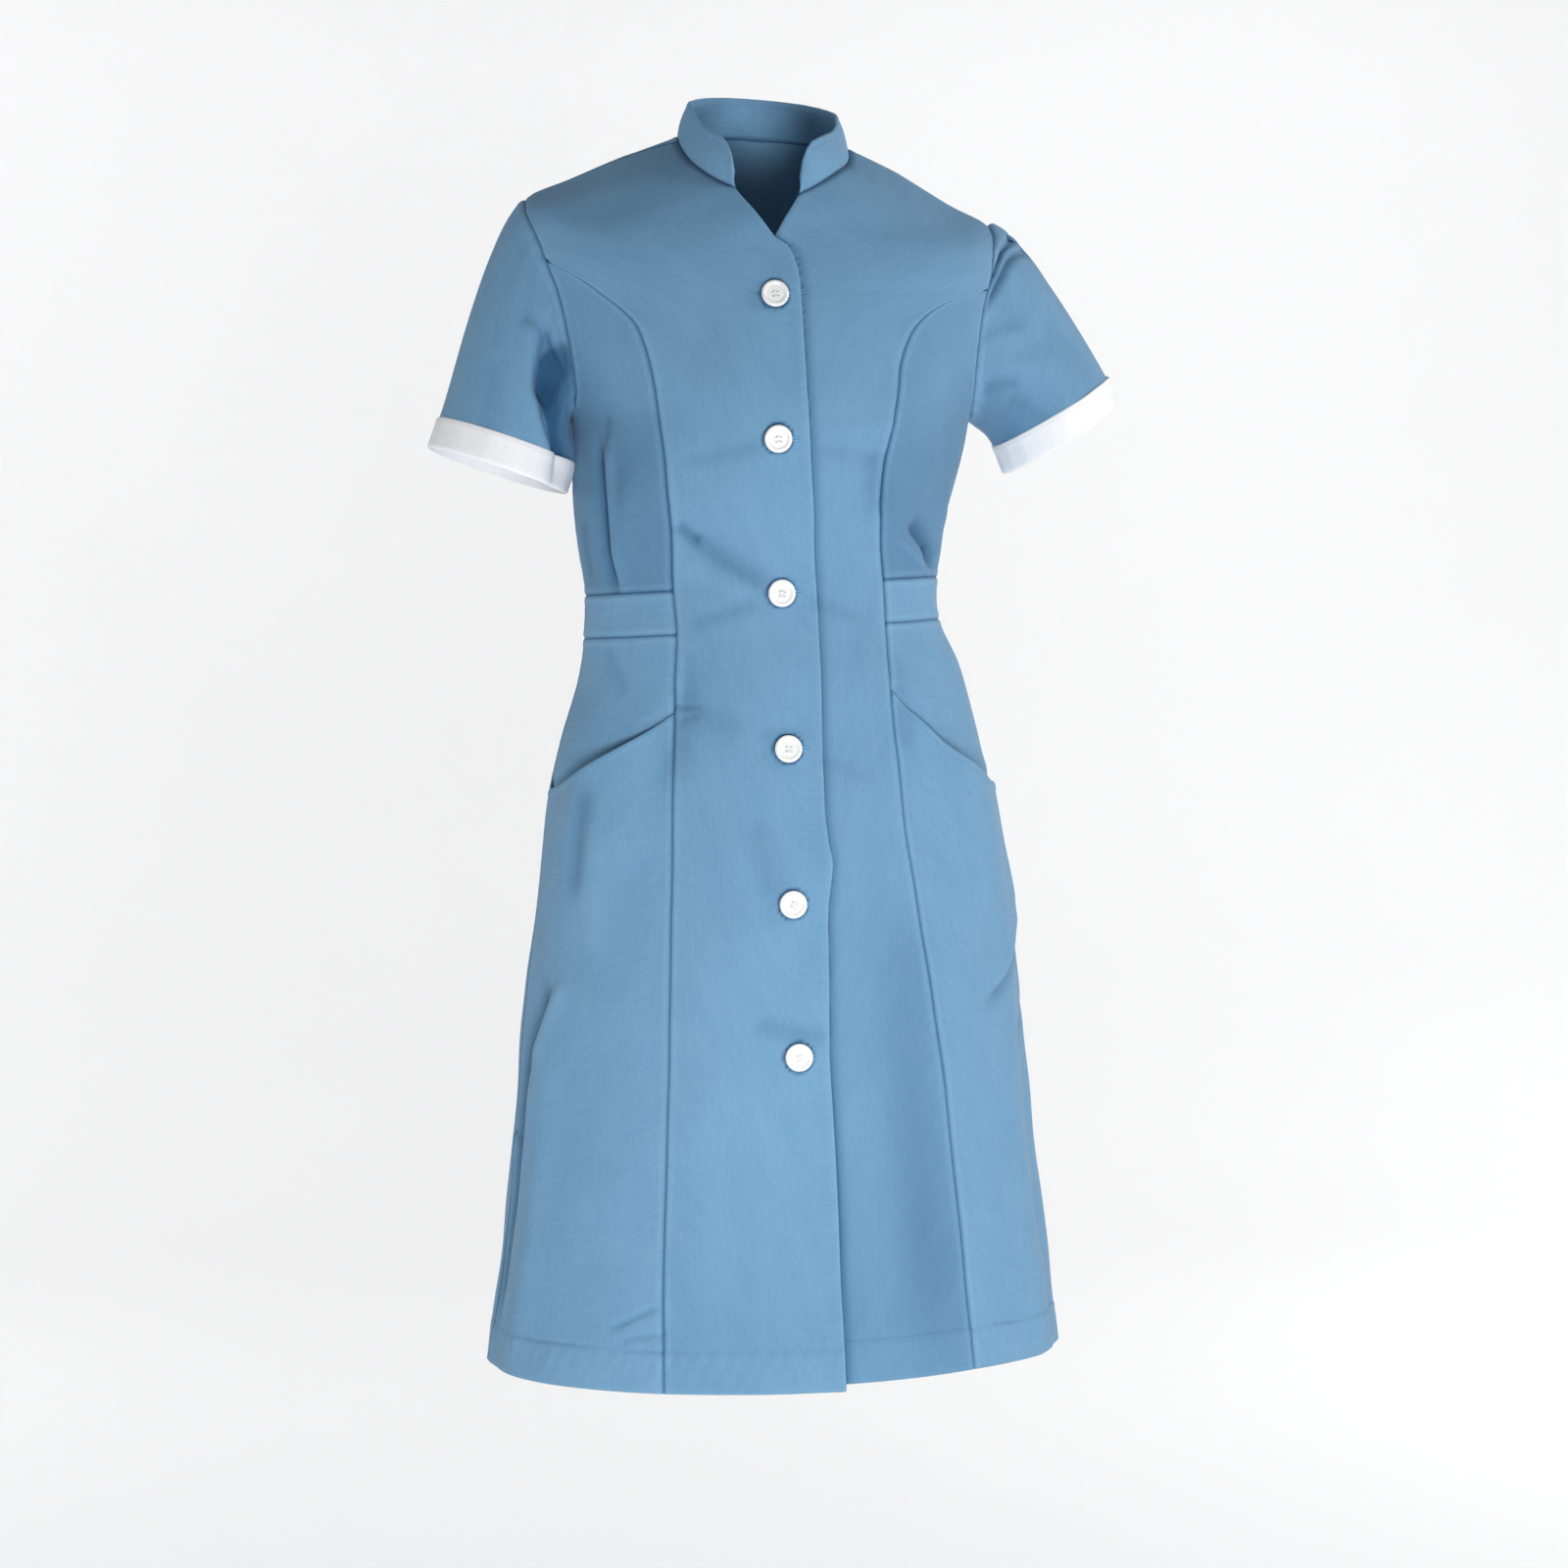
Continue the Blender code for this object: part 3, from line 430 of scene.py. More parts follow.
opening = {
    "columns": ("height", "upperX", "lowerX"),
    "rows": (
        (-0.0160, -0.0306, 0.0215),
        (-0.0190, -0.0285, 0.0195),
        (-0.0400, -0.0140, 0.0055),
        (-0.0552, -0.0037, -0.0037),
        (-0.0605, 0.0058, -0.0075),
        (-0.0680, 0.0096, -0.0120),
        (-0.0780, 0.0122, -0.0180),
        (-0.0900, 0.0136, -0.0225),
        (-0.1270, 0.0140, -0.0240),
        (-0.1710, 0.0150, -0.0240),
        (-0.2350, 0.0193, -0.0240),
        (-0.2725, 0.0232, -0.0230),
        (-0.3300, 0.0275, -0.0200),
        (-0.4060, 0.0289, -0.0190),
        (-0.4950, 0.0292, -0.0185),
        (-0.5150, 0.0310, -0.0184),
        (-0.5310, 0.0338, -0.0182),
        (-0.5420, 0.0332, -0.0181),
        (-0.5540, 0.0320, -0.0181),
        (-0.5660, 0.0307, -0.0180),
        (-0.5800, 0.0302, -0.0179),
        (-0.6780, 0.0295, -0.0170),
        (-0.7970, 0.0343, -0.0150),
        (-0.9290, 0.0379, -0.0120),
    ),
}

mouths = {
    "columns": ("share", "rightHeight", "leftHeight"),
    "rows": (
        (0.00, -0.4154, -0.4050),
        (0.08, -0.4240, -0.4190),
        (0.16, -0.4325, -0.4330),
        (0.23, -0.4395, -0.4460),
        (0.31, -0.4470, -0.4565),
        (0.41, -0.4550, -0.4655),
        (0.54, -0.4630, -0.4745),
        (0.75, -0.4715, -0.4810),
        (1.00, -0.4765, -0.4835),
    ),
}

# large folds, as the solids have them, and finer creases: each runs from one angle and height to
# another, minus depths are troughs, and a narrow width on one side makes that flank steep
folds = {
    "columns": ("angle1", "height1", "angle2", "height2", "widthMinus", "widthPlus", "depth"),
    "fadeIn": 0.35,
    "fadeOut": 0.75,
    "hemReach": 0.04,       # a fold that ends this near the hem runs on to it
    "rows": (
        (-50.0, -0.215, -56.0, -0.318, 0.010, 0.010, 0.0020),
        (-64.0, -0.215, -62.5, -0.318, 0.007, 0.005, -0.0020),
        (58.0, -0.235, 50.0, -0.300, 0.013, 0.013, -0.0025),
        (69.0, -0.240, 70.0, -0.312, 0.010, 0.010, 0.0026),
        (-14.0, -0.272, -34.0, -0.330, 0.018, 0.018, -0.0010),
        (-66.0, -0.600, -70.0, -0.900, 0.020, 0.020, 0.0045),
        (-80.0, -0.560, -82.0, -0.915, 0.018, 0.018, -0.0045),
        (60.0, -0.640, 58.0, -0.915, 0.022, 0.022, 0.0035),
        (73.0, -0.600, 74.0, -0.915, 0.018, 0.018, -0.0045),
        (-104.0, -0.560, -106.0, -0.915, 0.022, 0.022, 0.0040),
        (-126.0, -0.580, -128.0, -0.915, 0.024, 0.024, -0.0040),
        (-158.0, -0.560, -158.0, -0.915, 0.028, 0.028, 0.0040),
        (168.0, -0.560, 170.0, -0.915, 0.026, 0.026, -0.0040),
        (138.0, -0.580, 140.0, -0.915, 0.026, 0.026, 0.0040),
        (112.0, -0.560, 112.0, -0.915, 0.022, 0.022, -0.0040),
        (-140.0, -0.240, -152.0, -0.315, 0.014, 0.014, -0.0030),
        (142.0, -0.235, 152.0, -0.315, 0.014, 0.014, -0.0030),
        (172.0, -0.262, 180.0, -0.300, 0.016, 0.016, 0.0020),
    ),
}

creases = {
    "columns": ("angle1", "height1", "angle2", "height2", "widthMinus", "widthPlus", "depth"),
    "ends": (-0.08, 0.18, 0.78, 1.08),
    # painted shade in troughs and painted highlight on ridges, by depth
    "dark": 115.0,      # tone a metre of depth
    "pale": 44.0,
    "rows": (
        (-65.0, -0.206, -60.2, -0.322, 0.0088, 0.0030, -0.0056),  # tuck on the right side bodice
        (-59.6, -0.188, -62.2, -0.216, 0.0050, 0.0040, -0.0012),
        (-61.0, -0.210, -56.8, -0.322, 0.0024, 0.0070, 0.0028),
        (-78.5, -0.262, -77.0, -0.312, 0.0060, 0.0080, -0.0016),
        (-34.0, -0.2715, -25.5, -0.2860, 0.0034, 0.0046, -0.0040),  # wedge above the waist
        (-29.0, -0.281, -4.5, -0.322, 0.0060, 0.0095, -0.0030),
        (-30.0, -0.298, -12.0, -0.326, 0.0060, 0.0050, 0.0012),
        (39.5, -0.287, 63.0, -0.317, 0.0036, 0.0026, 0.0030),     # fold into the left waistband
        (45.0, -0.277, 68.0, -0.314, 0.0030, 0.0100, -0.0044),
        (60.0, -0.292, 60.5, -0.322, 0.0046, 0.0040, -0.0018),
        (71.0, -0.262, 76.0, -0.315, 0.0060, 0.0060, 0.0016),
        (24.0, -0.218, 31.0, -0.272, 0.0100, 0.0100, -0.0020),
        (6.0, -0.216, 30.0, -0.226, 0.0060, 0.0050, -0.0010),     # pulls round the buttons
        (8.0, -0.206, 34.0, -0.196, 0.0060, 0.0060, 0.0009),
        (-8.0, -0.212, -34.0, -0.226, 0.0060, 0.0060, -0.0010),
        (8.0, -0.331, 28.0, -0.350, 0.0060, 0.0060, -0.0011),
        (-8.0, -0.332, -30.0, -0.345, 0.0060, 0.0060, -0.0011),
        (-36.0, -0.400, -12.0, -0.432, 0.0100, 0.0100, -0.0011),
        (-34.6, -0.409, -25.0, -0.411, 0.0022, 0.0022, -0.0015),  # short creases below the right waist
        (-33.0, -0.420, -24.5, -0.416, 0.0022, 0.0030, -0.0010),
        (6.0, -0.452, 22.0, -0.470, 0.0070, 0.0070, -0.0009),
        (-30.0, -0.368, -34.0, -0.470, 0.0060, 0.0120, -0.0016),
        (36.0, -0.372, 33.0, -0.452, 0.0120, 0.0060, -0.0015),
        (-66.0, -0.360, -52.0, -0.398, 0.0080, 0.0060, -0.0016),
        (-57.0, -0.470, -61.0, -0.560, 0.0100, 0.0110, -0.0032),  # hollow below the right pocket
        (-52.0, -0.500, -55.0, -0.610, 0.0110, 0.0130, 0.0016),
        (-62.5, -0.622, -74.6, -0.692, 0.0070, 0.0110, 0.0036),   # ridge down the right side skirt
        (-73.8, -0.678, -82.0, -0.925, 0.0090, 0.0130, 0.0036),
        (-69.5, -0.626, -84.0, -0.710, 0.0130, 0.0080, -0.0040),
        (-83.0, -0.694, -88.0, -0.910, 0.0100, 0.0070, -0.0030),
        (-94.0, -0.744, -80.0, -0.760, 0.0030, 0.0034, -0.0022),
        (77.0, -0.462, 83.0, -0.596, 0.0150, 0.0200, 0.0036),     # fullness below the left pocket
        (86.0, -0.596, 49.0, -0.648, 0.0034, 0.0064, -0.0034),
        (86.0, -0.582, 56.0, -0.634, 0.0070, 0.0050, 0.0020),
        (88.0, -0.640, 66.0, -0.690, 0.0060, 0.0100, -0.0014),
        (-20.0, -0.560, -22.0, -0.900, 0.0280, 0.0280, 0.0018),
        (24.0, -0.560, 26.0, -0.900, 0.0260, 0.0260, -0.0018),
        (12.0, -0.700, 14.0, -0.920, 0.0120, 0.0200, 0.0012),
        (-41.5, -0.885, -30.0, -0.866, 0.0030, 0.0024, -0.0022),  # creases left by folding, above the hem
        (-38.5, -0.892, -28.0, -0.885, 0.0026, 0.0022, -0.0016),
        (-36.0, -0.878, -30.0, -0.870, 0.0026, 0.0026, 0.0008),
        (-12.0, -0.650, 5.0, -0.664, 0.0090, 0.0070, -0.0018),     # hollows above the lower buttons
        (-11.0, -0.496, -6.0, -0.560, 0.0100, 0.0100, -0.0016),
        (-10.0, -0.432, 4.0, -0.436, 0.0060, 0.0060, -0.0012),
        (-150.0, -0.300, -120.0, -0.318, 0.0060, 0.0060, -0.0018),
        (150.0, -0.292, 118.0, -0.316, 0.0060, 0.0060, -0.0020),
        (-172.0, -0.120, -150.0, -0.196, 0.0110, 0.0110, -0.0016),
        (168.0, -0.124, 146.0, -0.190, 0.0110, 0.0110, -0.0016),
        (-118.0, -0.205, -132.0, -0.292, 0.0070, 0.0044, -0.0026),
        (120.0, -0.210, 134.0, -0.296, 0.0044, 0.0070, -0.0026),
        (-112.0, -0.400, -140.0, -0.440, 0.0100, 0.0080, -0.0016),
        (116.0, -0.396, 146.0, -0.436, 0.0080, 0.0100, -0.0016),
        (-98.0, -0.600, -124.0, -0.664, 0.0060, 0.0080, -0.0022),
        (104.0, -0.700, 128.0, -0.760, 0.0080, 0.0060, -0.0020),
    ),
}

ripples = {   # slow unevenness all over: waves round the dress, metres a wave down it, phase, size
    "columns": ("turns", "down", "phase", "size"),
    "rows": (
        (5.0, 0.190, 0.3, 0.00045),
        (-7.0, 0.130, 1.9, 0.00035),
        (11.0, 0.270, 4.1, 0.00030),
        (-13.0, 0.090, 2.6, 0.00022),
        (3.0, 0.070, 5.2, 0.00020),
    ),
}


def tableColumn(table, name):
    return np.array([row[table["columns"].index(name)] for row in table["rows"]], dtype=float)


def cubic(start, leave, end, arrive, t):
    # Hermite curve: from start to end, with leave and arrive as the steps that its two ends point along
    return (start * (1 + 2 * t) * (1 - t) ** 2 + leave * t * (1 - t) ** 2
            + end * t * t * (3 - 2 * t) + arrive * t * t * (t - 1))


def tableCurve(table, key, name, at):
    # cubic through a table's rows, with slopes taken from the neighbouring rows
    knots, values = tableColumn(table, key), tableColumn(table, name)
    order = np.argsort(knots)
    knots, values = knots[order], values[order]
    at = np.clip(np.asarray(at, dtype=float), knots[0], knots[-1])
    slopes = np.gradient(values, knots)
    cell = np.clip(np.searchsorted(knots, at, side="right") - 1, 0, len(knots) - 2)
    span = knots[cell + 1] - knots[cell]
    t = (at - knots[cell]) / span
    return cubic(values[cell], slopes[cell] * span, values[cell + 1], slopes[cell + 1] * span, t)


def ringValues(level, *names):
    return [tableCurve(rings, "level", name, level) for name in names]


def softStep(value, low, high):
    # 0 below low, 1 above high, smooth between
    t = np.clip((value - low) / (high - low), 0.0, 1.0)
    return t * t * (3 - 2 * t)


def bell(distance, width):
    return np.exp(-(distance / width) ** 2)


def mark(look, name, distance):
    # a bell whose size and width a dictionary holds under one name
    size, width = look[name]
    return size * bell(distance, width)


def unitRows(vectors):
    return vectors / np.maximum(np.linalg.norm(vectors, axis=-1, keepdims=True), 1e-12)


def barePoint(level, angle):
    # a ring is a front and a back half ellipse, each in its own tilted plane:
    # x = centre + side * sin(angle), y = -front * cos(angle), z slides from the side's to the middle's height
    side, sideZ, frontY, backY, backZ, tilt, centre = ringValues(
        level, "sideX", "sideZ", "frontY", "backY", "backZ", "tilt", "centreX")
    along = np.cos(angle)
    isFront = along >= 0
    offset = side * np.sin(angle)
    y = np.where(isFront, -frontY, -backY) * along
    z = sideZ + (np.where(isFront, level, backZ) - sideZ) * np.abs(along) + tilt * offset
    lifted = np.where(isFront & (np.sin(angle) > 0), form["neckLift"] * np.sin(2 * angle) ** 2, 0.0)
    z = z + lifted * softStep(level, form["neckLiftFrom"], form["neckLevel"])
    return np.stack([centre + offset, y, z], axis=-1)


def bareNormal(level, angle):
    # cross product of a small step down and a small step round
    stepDown, stepRound = 0.001, 0.006
    down = barePoint(level - stepDown, angle) - barePoint(level + stepDown, angle)
    around = barePoint(level, angle + stepRound) - barePoint(level, angle - stepRound)
    return unitRows(np.cross(down, around))


def shortTurn(angle):
    # the same angle between minus and plus half a turn
    return (angle + math.pi) % (2 * math.pi) - math.pi


def foldLift(level, angle):
    # sum of the large folds: across each run a bell with its own width on each side, fading at the run's
    # ends, but not at one that reaches the hem
    radius = ringValues(level, "sideX")[0] * form["roundness"]
    total = np.zeros(np.broadcast(level, angle).shape)
    for angle1, height1, angle2, height2, widthMinus, widthPlus, depth in folds["rows"]:
        way = np.clip((level - height1) / (height2 - height1), 0.0, 1.0)
        runLength = math.hypot(height2 - height1, math.radians(angle2 - angle1) * form["foldRadius"])
        slant = abs(height2 - height1) / runLength
        across = shortTurn(angle - np.radians(angle1 + (angle2 - angle1) * way)) * radius * slant
        beyond = np.maximum(np.maximum(height2 - level, level - height1), 0.0)
        fade = softStep(way, 0.0, folds["fadeIn"]) * bell(beyond, max(widthMinus, widthPlus))
        if height2 > form["hemLevel"] + folds["hemReach"]:
            fade = fade * (1 - softStep(way, folds["fadeOut"], 1.0))
        total = total + depth * fade * bell(across, np.where(across < 0, widthMinus, widthPlus))
    return total


def runBell(across, down, runAcross, runDown, widths, ends):
    # a bell of the distance from a straight run, in metres on the cloth; ends are the shares of the run
    # at which it fades in and out
    runLength = np.hypot(runAcross, runDown)
    share = (across * runAcross + down * runDown) / runLength ** 2
    aside = (across * runDown - down * runAcross) / runLength
    fade = softStep(share, *ends[:2]) * (1 - softStep(share, *ends[2:]))
    return fade * bell(aside, np.where(aside < 0, *widths))


def creaseLift(level, angle):
    # sum of the creases of the body panels
    radius = ringValues(level, "sideX")[0] * form["roundness"]
    total = np.zeros(np.broadcast(level, angle).shape)
    for angle1, height1, angle2, height2, widthMinus, widthPlus, depth in creases["rows"]:
        runAcross, runDown = math.radians(angle2 - angle1) * radius, abs(height1 - height2) + 1e-6
        across = shortTurn(angle - math.radians(angle1)) * radius
        down = (height1 - level) * (1.0 if height2 <= height1 else -1.0)
        widths = (widthMinus, widthPlus)
        total = total + depth * runBell(across, down, runAcross, runDown, widths, creases["ends"])
    return total


def creaseShadeAndHighlight(crease):
    # painted highlight on the ridges and painted shade in the creases' bottoms
    return crease * np.where(crease < 0, creases["dark"], creases["pale"])


def rippleLift(level, angle):
    # sum of slow waves round and down the cloth
    total = np.zeros(np.broadcast(level, angle).shape)
    for turns, down, phase, size in ripples["rows"]:
        total = total + size * np.sin(turns * angle + 2 * math.pi * level / down + phase)
    return total


def clothLift(level, angle):
    return foldLift(level, angle) + creaseLift(level, angle) + rippleLift(level, angle)


def angleWhereX(level, xAtHeight):
    # steps towards the angle at which the ring of a level meets x given by height
    height = np.array(level, dtype=float)
    side, centre = ringValues(level, "sideX", "centreX")
    for _ in range(form["angleSteps"]):
        angle = np.arcsin(np.clip((xAtHeight(height) - centre) / side, -1.0, 1.0))
        height = 0.5 * height + 0.5 * barePoint(level, angle)[..., 2]
    return angle


def princessAngle(level, side):
    name = "rightX" if side < 0 else "leftX"
    return angleWhereX(level, lambda height: side * tableCurve(princess, "height", name, height))


def openingX(height, name):
    # straight between the rows, because the neck's V has a corner
    return np.interp(height, tableColumn(opening, "height")[::-1], tableColumn(opening, name)[::-1])


def openingAngle(level, name):
    return angleWhereX(level, lambda height: openingX(height, name))


def armholeAngle(level, name):
    return np.radians(tableCurve(armhole, "level", name, level))


def princessTop(side):
    # level at which a princess seam runs into the armhole: the lowest, above a floor, where they nearly meet
    meet, lowest, steps = math.radians(1.2), -0.15, 241
    levels = np.linspace(form["armholeLow"], form["tipLevel"], steps)
    gap = armholeAngle(levels, "frontAngle") - np.abs(princessAngle(levels, side))
    return float(levels[(gap < meet) & (levels > lowest)].min())


def mouthLevel(share, name):
    return tableCurve(mouths, "share", name + "Height", share)


# cloth pieces as thin shells

seamLook = {"dip": 0.0010, "dipWidth": 0.0011, "ridge": 0.00035, "ridgeAt": 0.0042, "ridgeWidth": 0.0024,
            "pucker": 0.00012, "puckerPitch": 0.011, "puckerReach": 0.008,
            "dark": 0.76, "darkWidth": 0.0015, "pale": 0.16, "paleWidth": 0.0018}

hemLook = {"ropeSize": 0.00033, "ropePitch": 0.013, "stitchDip": 0.00060, "thicker": 0.0006,
           "lineDark": 0.34, "edgePale": 0.10, "turnedPale": 0.03}

edgeSteps = np.array([0.0, 0.0005, 0.0010, 0.0016, 0.0023, 0.0032, 0.0043, 0.0058, 0.0078])


def spreadShares(span, count, first=True, last=True):
    # shares of the way across: close together beside an edge, then even
    near = edgeSteps / span
    start = near if first else near[:1]
    end = 1 - near[::-1] if last else np.array([1.0])
    middle = np.linspace(start[-1], end[0], count)[1:-1]
    return np.concatenate([start, middle, end])


def gridNormals(points, ring=False):
    # cross product of the steps down and across
    across = np.roll(points, -1, axis=1) - np.roll(points, 1, axis=1) if ring else np.gradient(points, axis=1)
    return unitRows(np.cross(np.gradient(points, axis=0), across))


def travelled(points, axis):
    # distance run along each row (axis 1) or column (axis 0)
    steps = np.linalg.norm(np.diff(points, axis=axis), axis=-1)
    pad = np.zeros_like(np.take(steps, [0], axis=axis))
    return np.concatenate([pad, np.cumsum(steps, axis=axis)], axis=axis)


def seamProfile(distance, along):
    # a narrow dip at the seam, a low ridge over its turnings, and small puckers that fade away from it
    dip = -seamLook["dip"] * bell(distance, seamLook["dipWidth"])
    ridge = seamLook["ridge"] * bell(distance - seamLook["ridgeAt"], seamLook["ridgeWidth"])
    wave = np.sin(2 * math.pi * along / seamLook["puckerPitch"] + 1.7 * np.sin(along * 61.0))
    pucker = seamLook["pucker"] * wave * np.exp(-distance / seamLook["puckerReach"])
    return dip + ridge + pucker


def seamTone(distance, darkWidth):
    # painted shade in the seam's groove, and a paler ridge beside it that is partly painted highlight and
    # partly wear
    return (-seamLook["dark"] * bell(distance, darkWidth)
            + seamLook["pale"] * bell(distance - seamLook["ridgeAt"], seamLook["paleWidth"]))


def shellArrays(outer, inner, ring=False):
    # two skins joined by a rounded edge; the mid points of the edge stand a little way out
    rows, columns = outer.shape[:2]
    index = np.arange(rows * columns).reshape(rows, columns)
    skin = gridQuads(np.concatenate([index, index[:, :1]], axis=1) if ring else index)
    count = rows * columns
    vertices = [outer.reshape(-1, 3), inner.reshape(-1, 3)]
    quads = [skin, skin[:, ::-1] + count]
    if ring:
        borders = [index[0], index[-1][::-1]]
    else:
        borders = [np.concatenate([index[0, :-1], index[:-1, -1], index[-1, :0:-1], index[:0:-1, 0]])]
    source = [np.arange(count), np.arange(count)]
    start = 2 * count
    flat, flatInner = outer.reshape(-1, 3), inner.reshape(-1, 3)
    for border in borders:
        row, column = np.divmod(border, columns)
        nearRow = np.clip(row, 1, rows - 2)
        nearColumn = column if ring else np.clip(column, 1, columns - 2)
        away = unitRows(flat[border] - flat[nearRow * columns + nearColumn])
        thick = np.linalg.norm(flat[border] - flatInner[border], axis=1)[:, None]
        vertices.append((flat[border] + flatInner[border]) / 2 + away * thick * 0.42)
        mid = start + np.arange(len(border))
        ahead, midAhead = np.roll(border, -1), np.roll(mid, -1)
        quads.append(np.stack([ahead, border, mid, midAhead], axis=-1))
        quads.append(np.stack([midAhead, mid, border + count, ahead + count], axis=-1))
        source.append(border)
        start += len(border)
    vertices = np.concatenate(vertices)
    quads = np.concatenate(quads)
    a, b, c, d = (vertices[quads[:, k]] for k in range(4))
    if np.sum(a * np.cross(b, c) + a * np.cross(c, d)) < 0:
        # its volume comes out negative, so it is inside out
        quads = quads[:, ::-1]
    return vertices, quads, np.concatenate(source)


def addPiece(name, vertices, faces, finish, node=None, uv=None, paintedShadeAndWear=None):
    mesh = bpy.data.meshes.new(name)
    mesh.from_pydata(vertices.tolist(), [], faces if isinstance(faces, list) else faces.tolist())
    if uv is not None:
        layer = mesh.uv_layers.new(name="cloth")
        corner = np.zeros(len(mesh.loops), dtype=np.int32)
        mesh.loops.foreach_get("vertex_index", corner)
        layer.data.foreach_set("uv", uv[corner].astype(np.float32).ravel())
    if paintedShadeAndWear is not None:
        mesh.attributes.new("paintedShadeAndWear", "FLOAT", "POINT").data.foreach_set("value", paintedShadeAndWear.astype(np.float32))
    mesh.shade_smooth()
    mesh.materials.append(finishes[finish])
    piece = bpy.data.objects.new(name, mesh)
    bpy.context.scene.collection.objects.link(piece)
    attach(piece, "root")
    if node:
        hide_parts(node)
    return piece


def surfaceArea(points, ring=False):
    # half the cross product of each cell's diagonals
    if ring:
        points = np.concatenate([points, points[:, :1]], axis=1)
    return float(np.linalg.norm(np.cross(points[1:, 1:] - points[:-1, :-1],
                                         points[1:, :-1] - points[:-1, 1:]), axis=-1).sum() / 2)


def addShell(name, node, points, normals, thickness, paintedShadeAndWear, finish="blueCloth", ring=False):
    # thickness may vary over the grid; it is laid half on each side of the middle surface
    shape = points.shape[:2]
    half = np.broadcast_to(np.asarray(thickness) / 2, shape)[..., None]
    vertices, quads, source = shellArrays(points + normals * half, points - normals * half, ring)
    across, down = travelled(points, 1), travelled(points, 0)
    width = across[:, -1].max()
    if ring:
        width += np.linalg.norm(points[:, 0] - points[:, -1], axis=1).max()
    uv = np.stack([across - across[:, -1:] / 2, down], axis=-1).reshape(-1, 2)[source]
    paintedShadeAndWear = np.broadcast_to(paintedShadeAndWear, shape).reshape(-1)[source]
    piece = addPiece(name, vertices, quads, finish, node, uv, paintedShadeAndWear)
    area = surfaceArea(points, ring)
    length = max(float(down[-1].max()), area / width)
    print("  %s: %d faces, cut %.3f x %.3f m, %.4f square metres" % (name, len(quads), width, length, area))
    return piece


def layPanel(name, node, columns, level, firstAngle, lastAngle, seams, extra=None, hem=None, creased=1.0):
    # level is a grid of heights; the angle runs from the first seam to the last one by the columns' shares
    first, last = firstAngle(level), lastAngle(level)
    angle = first + (last - first) * columns
    bare = barePoint(level, angle)
    bareOut = bareNormal(level, angle)
    across, down = travelled(bare, 1), travelled(bare, 0)
    edges = {"first": (across, down), "last": (across[:, -1:] - across, down),
             "top": (down, across), "bottom": (down[-1:] - down, across)}
    crease = creased * creaseLift(level, angle)
    lift = foldLift(level, angle) + crease + rippleLift(level, angle)
    # painted shade in the creases and painted highlight on their ridges
    paintedShadeAndWear = creaseShadeAndHighlight(crease)
    thickness = np.full(angle.shape, form["wall"])
    for edge in seams:
        distance, along = edges[edge]
        lift = lift + seamProfile(distance, along)
        paintedShadeAndWear = paintedShadeAndWear + seamTone(distance, seamLook["darkWidth"])
    if extra is not None:
        more, tone = extra(level, angle, columns, bare, edges)
        lift, paintedShadeAndWear = lift + more, paintedShadeAndWear + tone
    if hem:
        below, along = edges["bottom"]
        turned = softStep(hem - below, -0.001, 0.001)
        rope = np.sin(2 * math.pi * (along + 0.5 * below) / hemLook["ropePitch"] + 1.4 * np.sin(along * 37.0))
        lift = lift - hemLook["stitchDip"] * bell(below - hem, 0.0012)
        lift = lift + hemLook["ropeSize"] * rope * turned * bell(below - hem * 0.85, hem * 0.7)
        thickness = thickness + hemLook["thicker"] * turned
        # painted shade in the hem's stitch line; paler at the folded edge and over the turned-up hem
        paintedShadeAndWear = paintedShadeAndWear - hemLook["lineDark"] * bell(below - hem, 0.0009)
        paintedShadeAndWear = paintedShadeAndWear + hemLook["edgePale"] * bell(below, 0.0015) + hemLook["turnedPale"] * turned
    points = bare + bareOut * lift[..., None]
    normals = gridNormals(points)
    if np.sum(normals * bareOut) < 0:
        normals = -normals
    addShell(name, node, points, normals, thickness, paintedShadeAndWear)
    return {"points": points, "normals": normals, "edges": edges, "thickness": thickness}


lapLook = {
    "columns": ("height", "lift"),      # how far the upper front's free edge stands off between buttons
    "rows": (
        (-0.060, 0.0004), (-0.100, 0.0002), (-0.150, 0.0014), (-0.210, 0.0004), (-0.268, 0.0018),
        (-0.326, 0.0004), (-0.385, 0.0017), (-0.445, 0.0005), (-0.500, 0.0020), (-0.535, 0.0040),
        (-0.563, 0.0010), (-0.620, 0.0019), (-0.678, 0.0006), (-0.760, 0.0024), (-0.850, 0.0018),
        (-0.929, 0.0032),
    ),
    "reach": 0.016,
    "middleX": (0.012, -0.004),         # at the hem and at the neck
    "lapTo": (0.030, 0.064),            # metres from the middle over which the lap's lift ends
    "neckFade": (-0.050, -0.026),
}

lapTone = {"under": 0.04, "low": 0.12, "lowFrom": (0.50, 0.80), "band": 0.42, "bandAt": 0.0022,
           "bandWidths": (0.0060, 0.0048), "line": 0.45, "lineAt": 0.0006, "lineWidth": 0.0012}


def lapLift(level, x, height, sign):
    # the upper front is lifted and the lower one pressed in, where they lie on each other
    middle = x - np.interp(level, [form["hemLevel"], form["neckLevel"]], lapLook["middleX"])
    near = 1 - softStep(-sign * middle, *lapLook["lapTo"])
    belowNeck = 1 - softStep(height, *lapLook["neckFade"])
    return sign * (form["wall"] + form["lapGap"]) / 2 * near * belowNeck


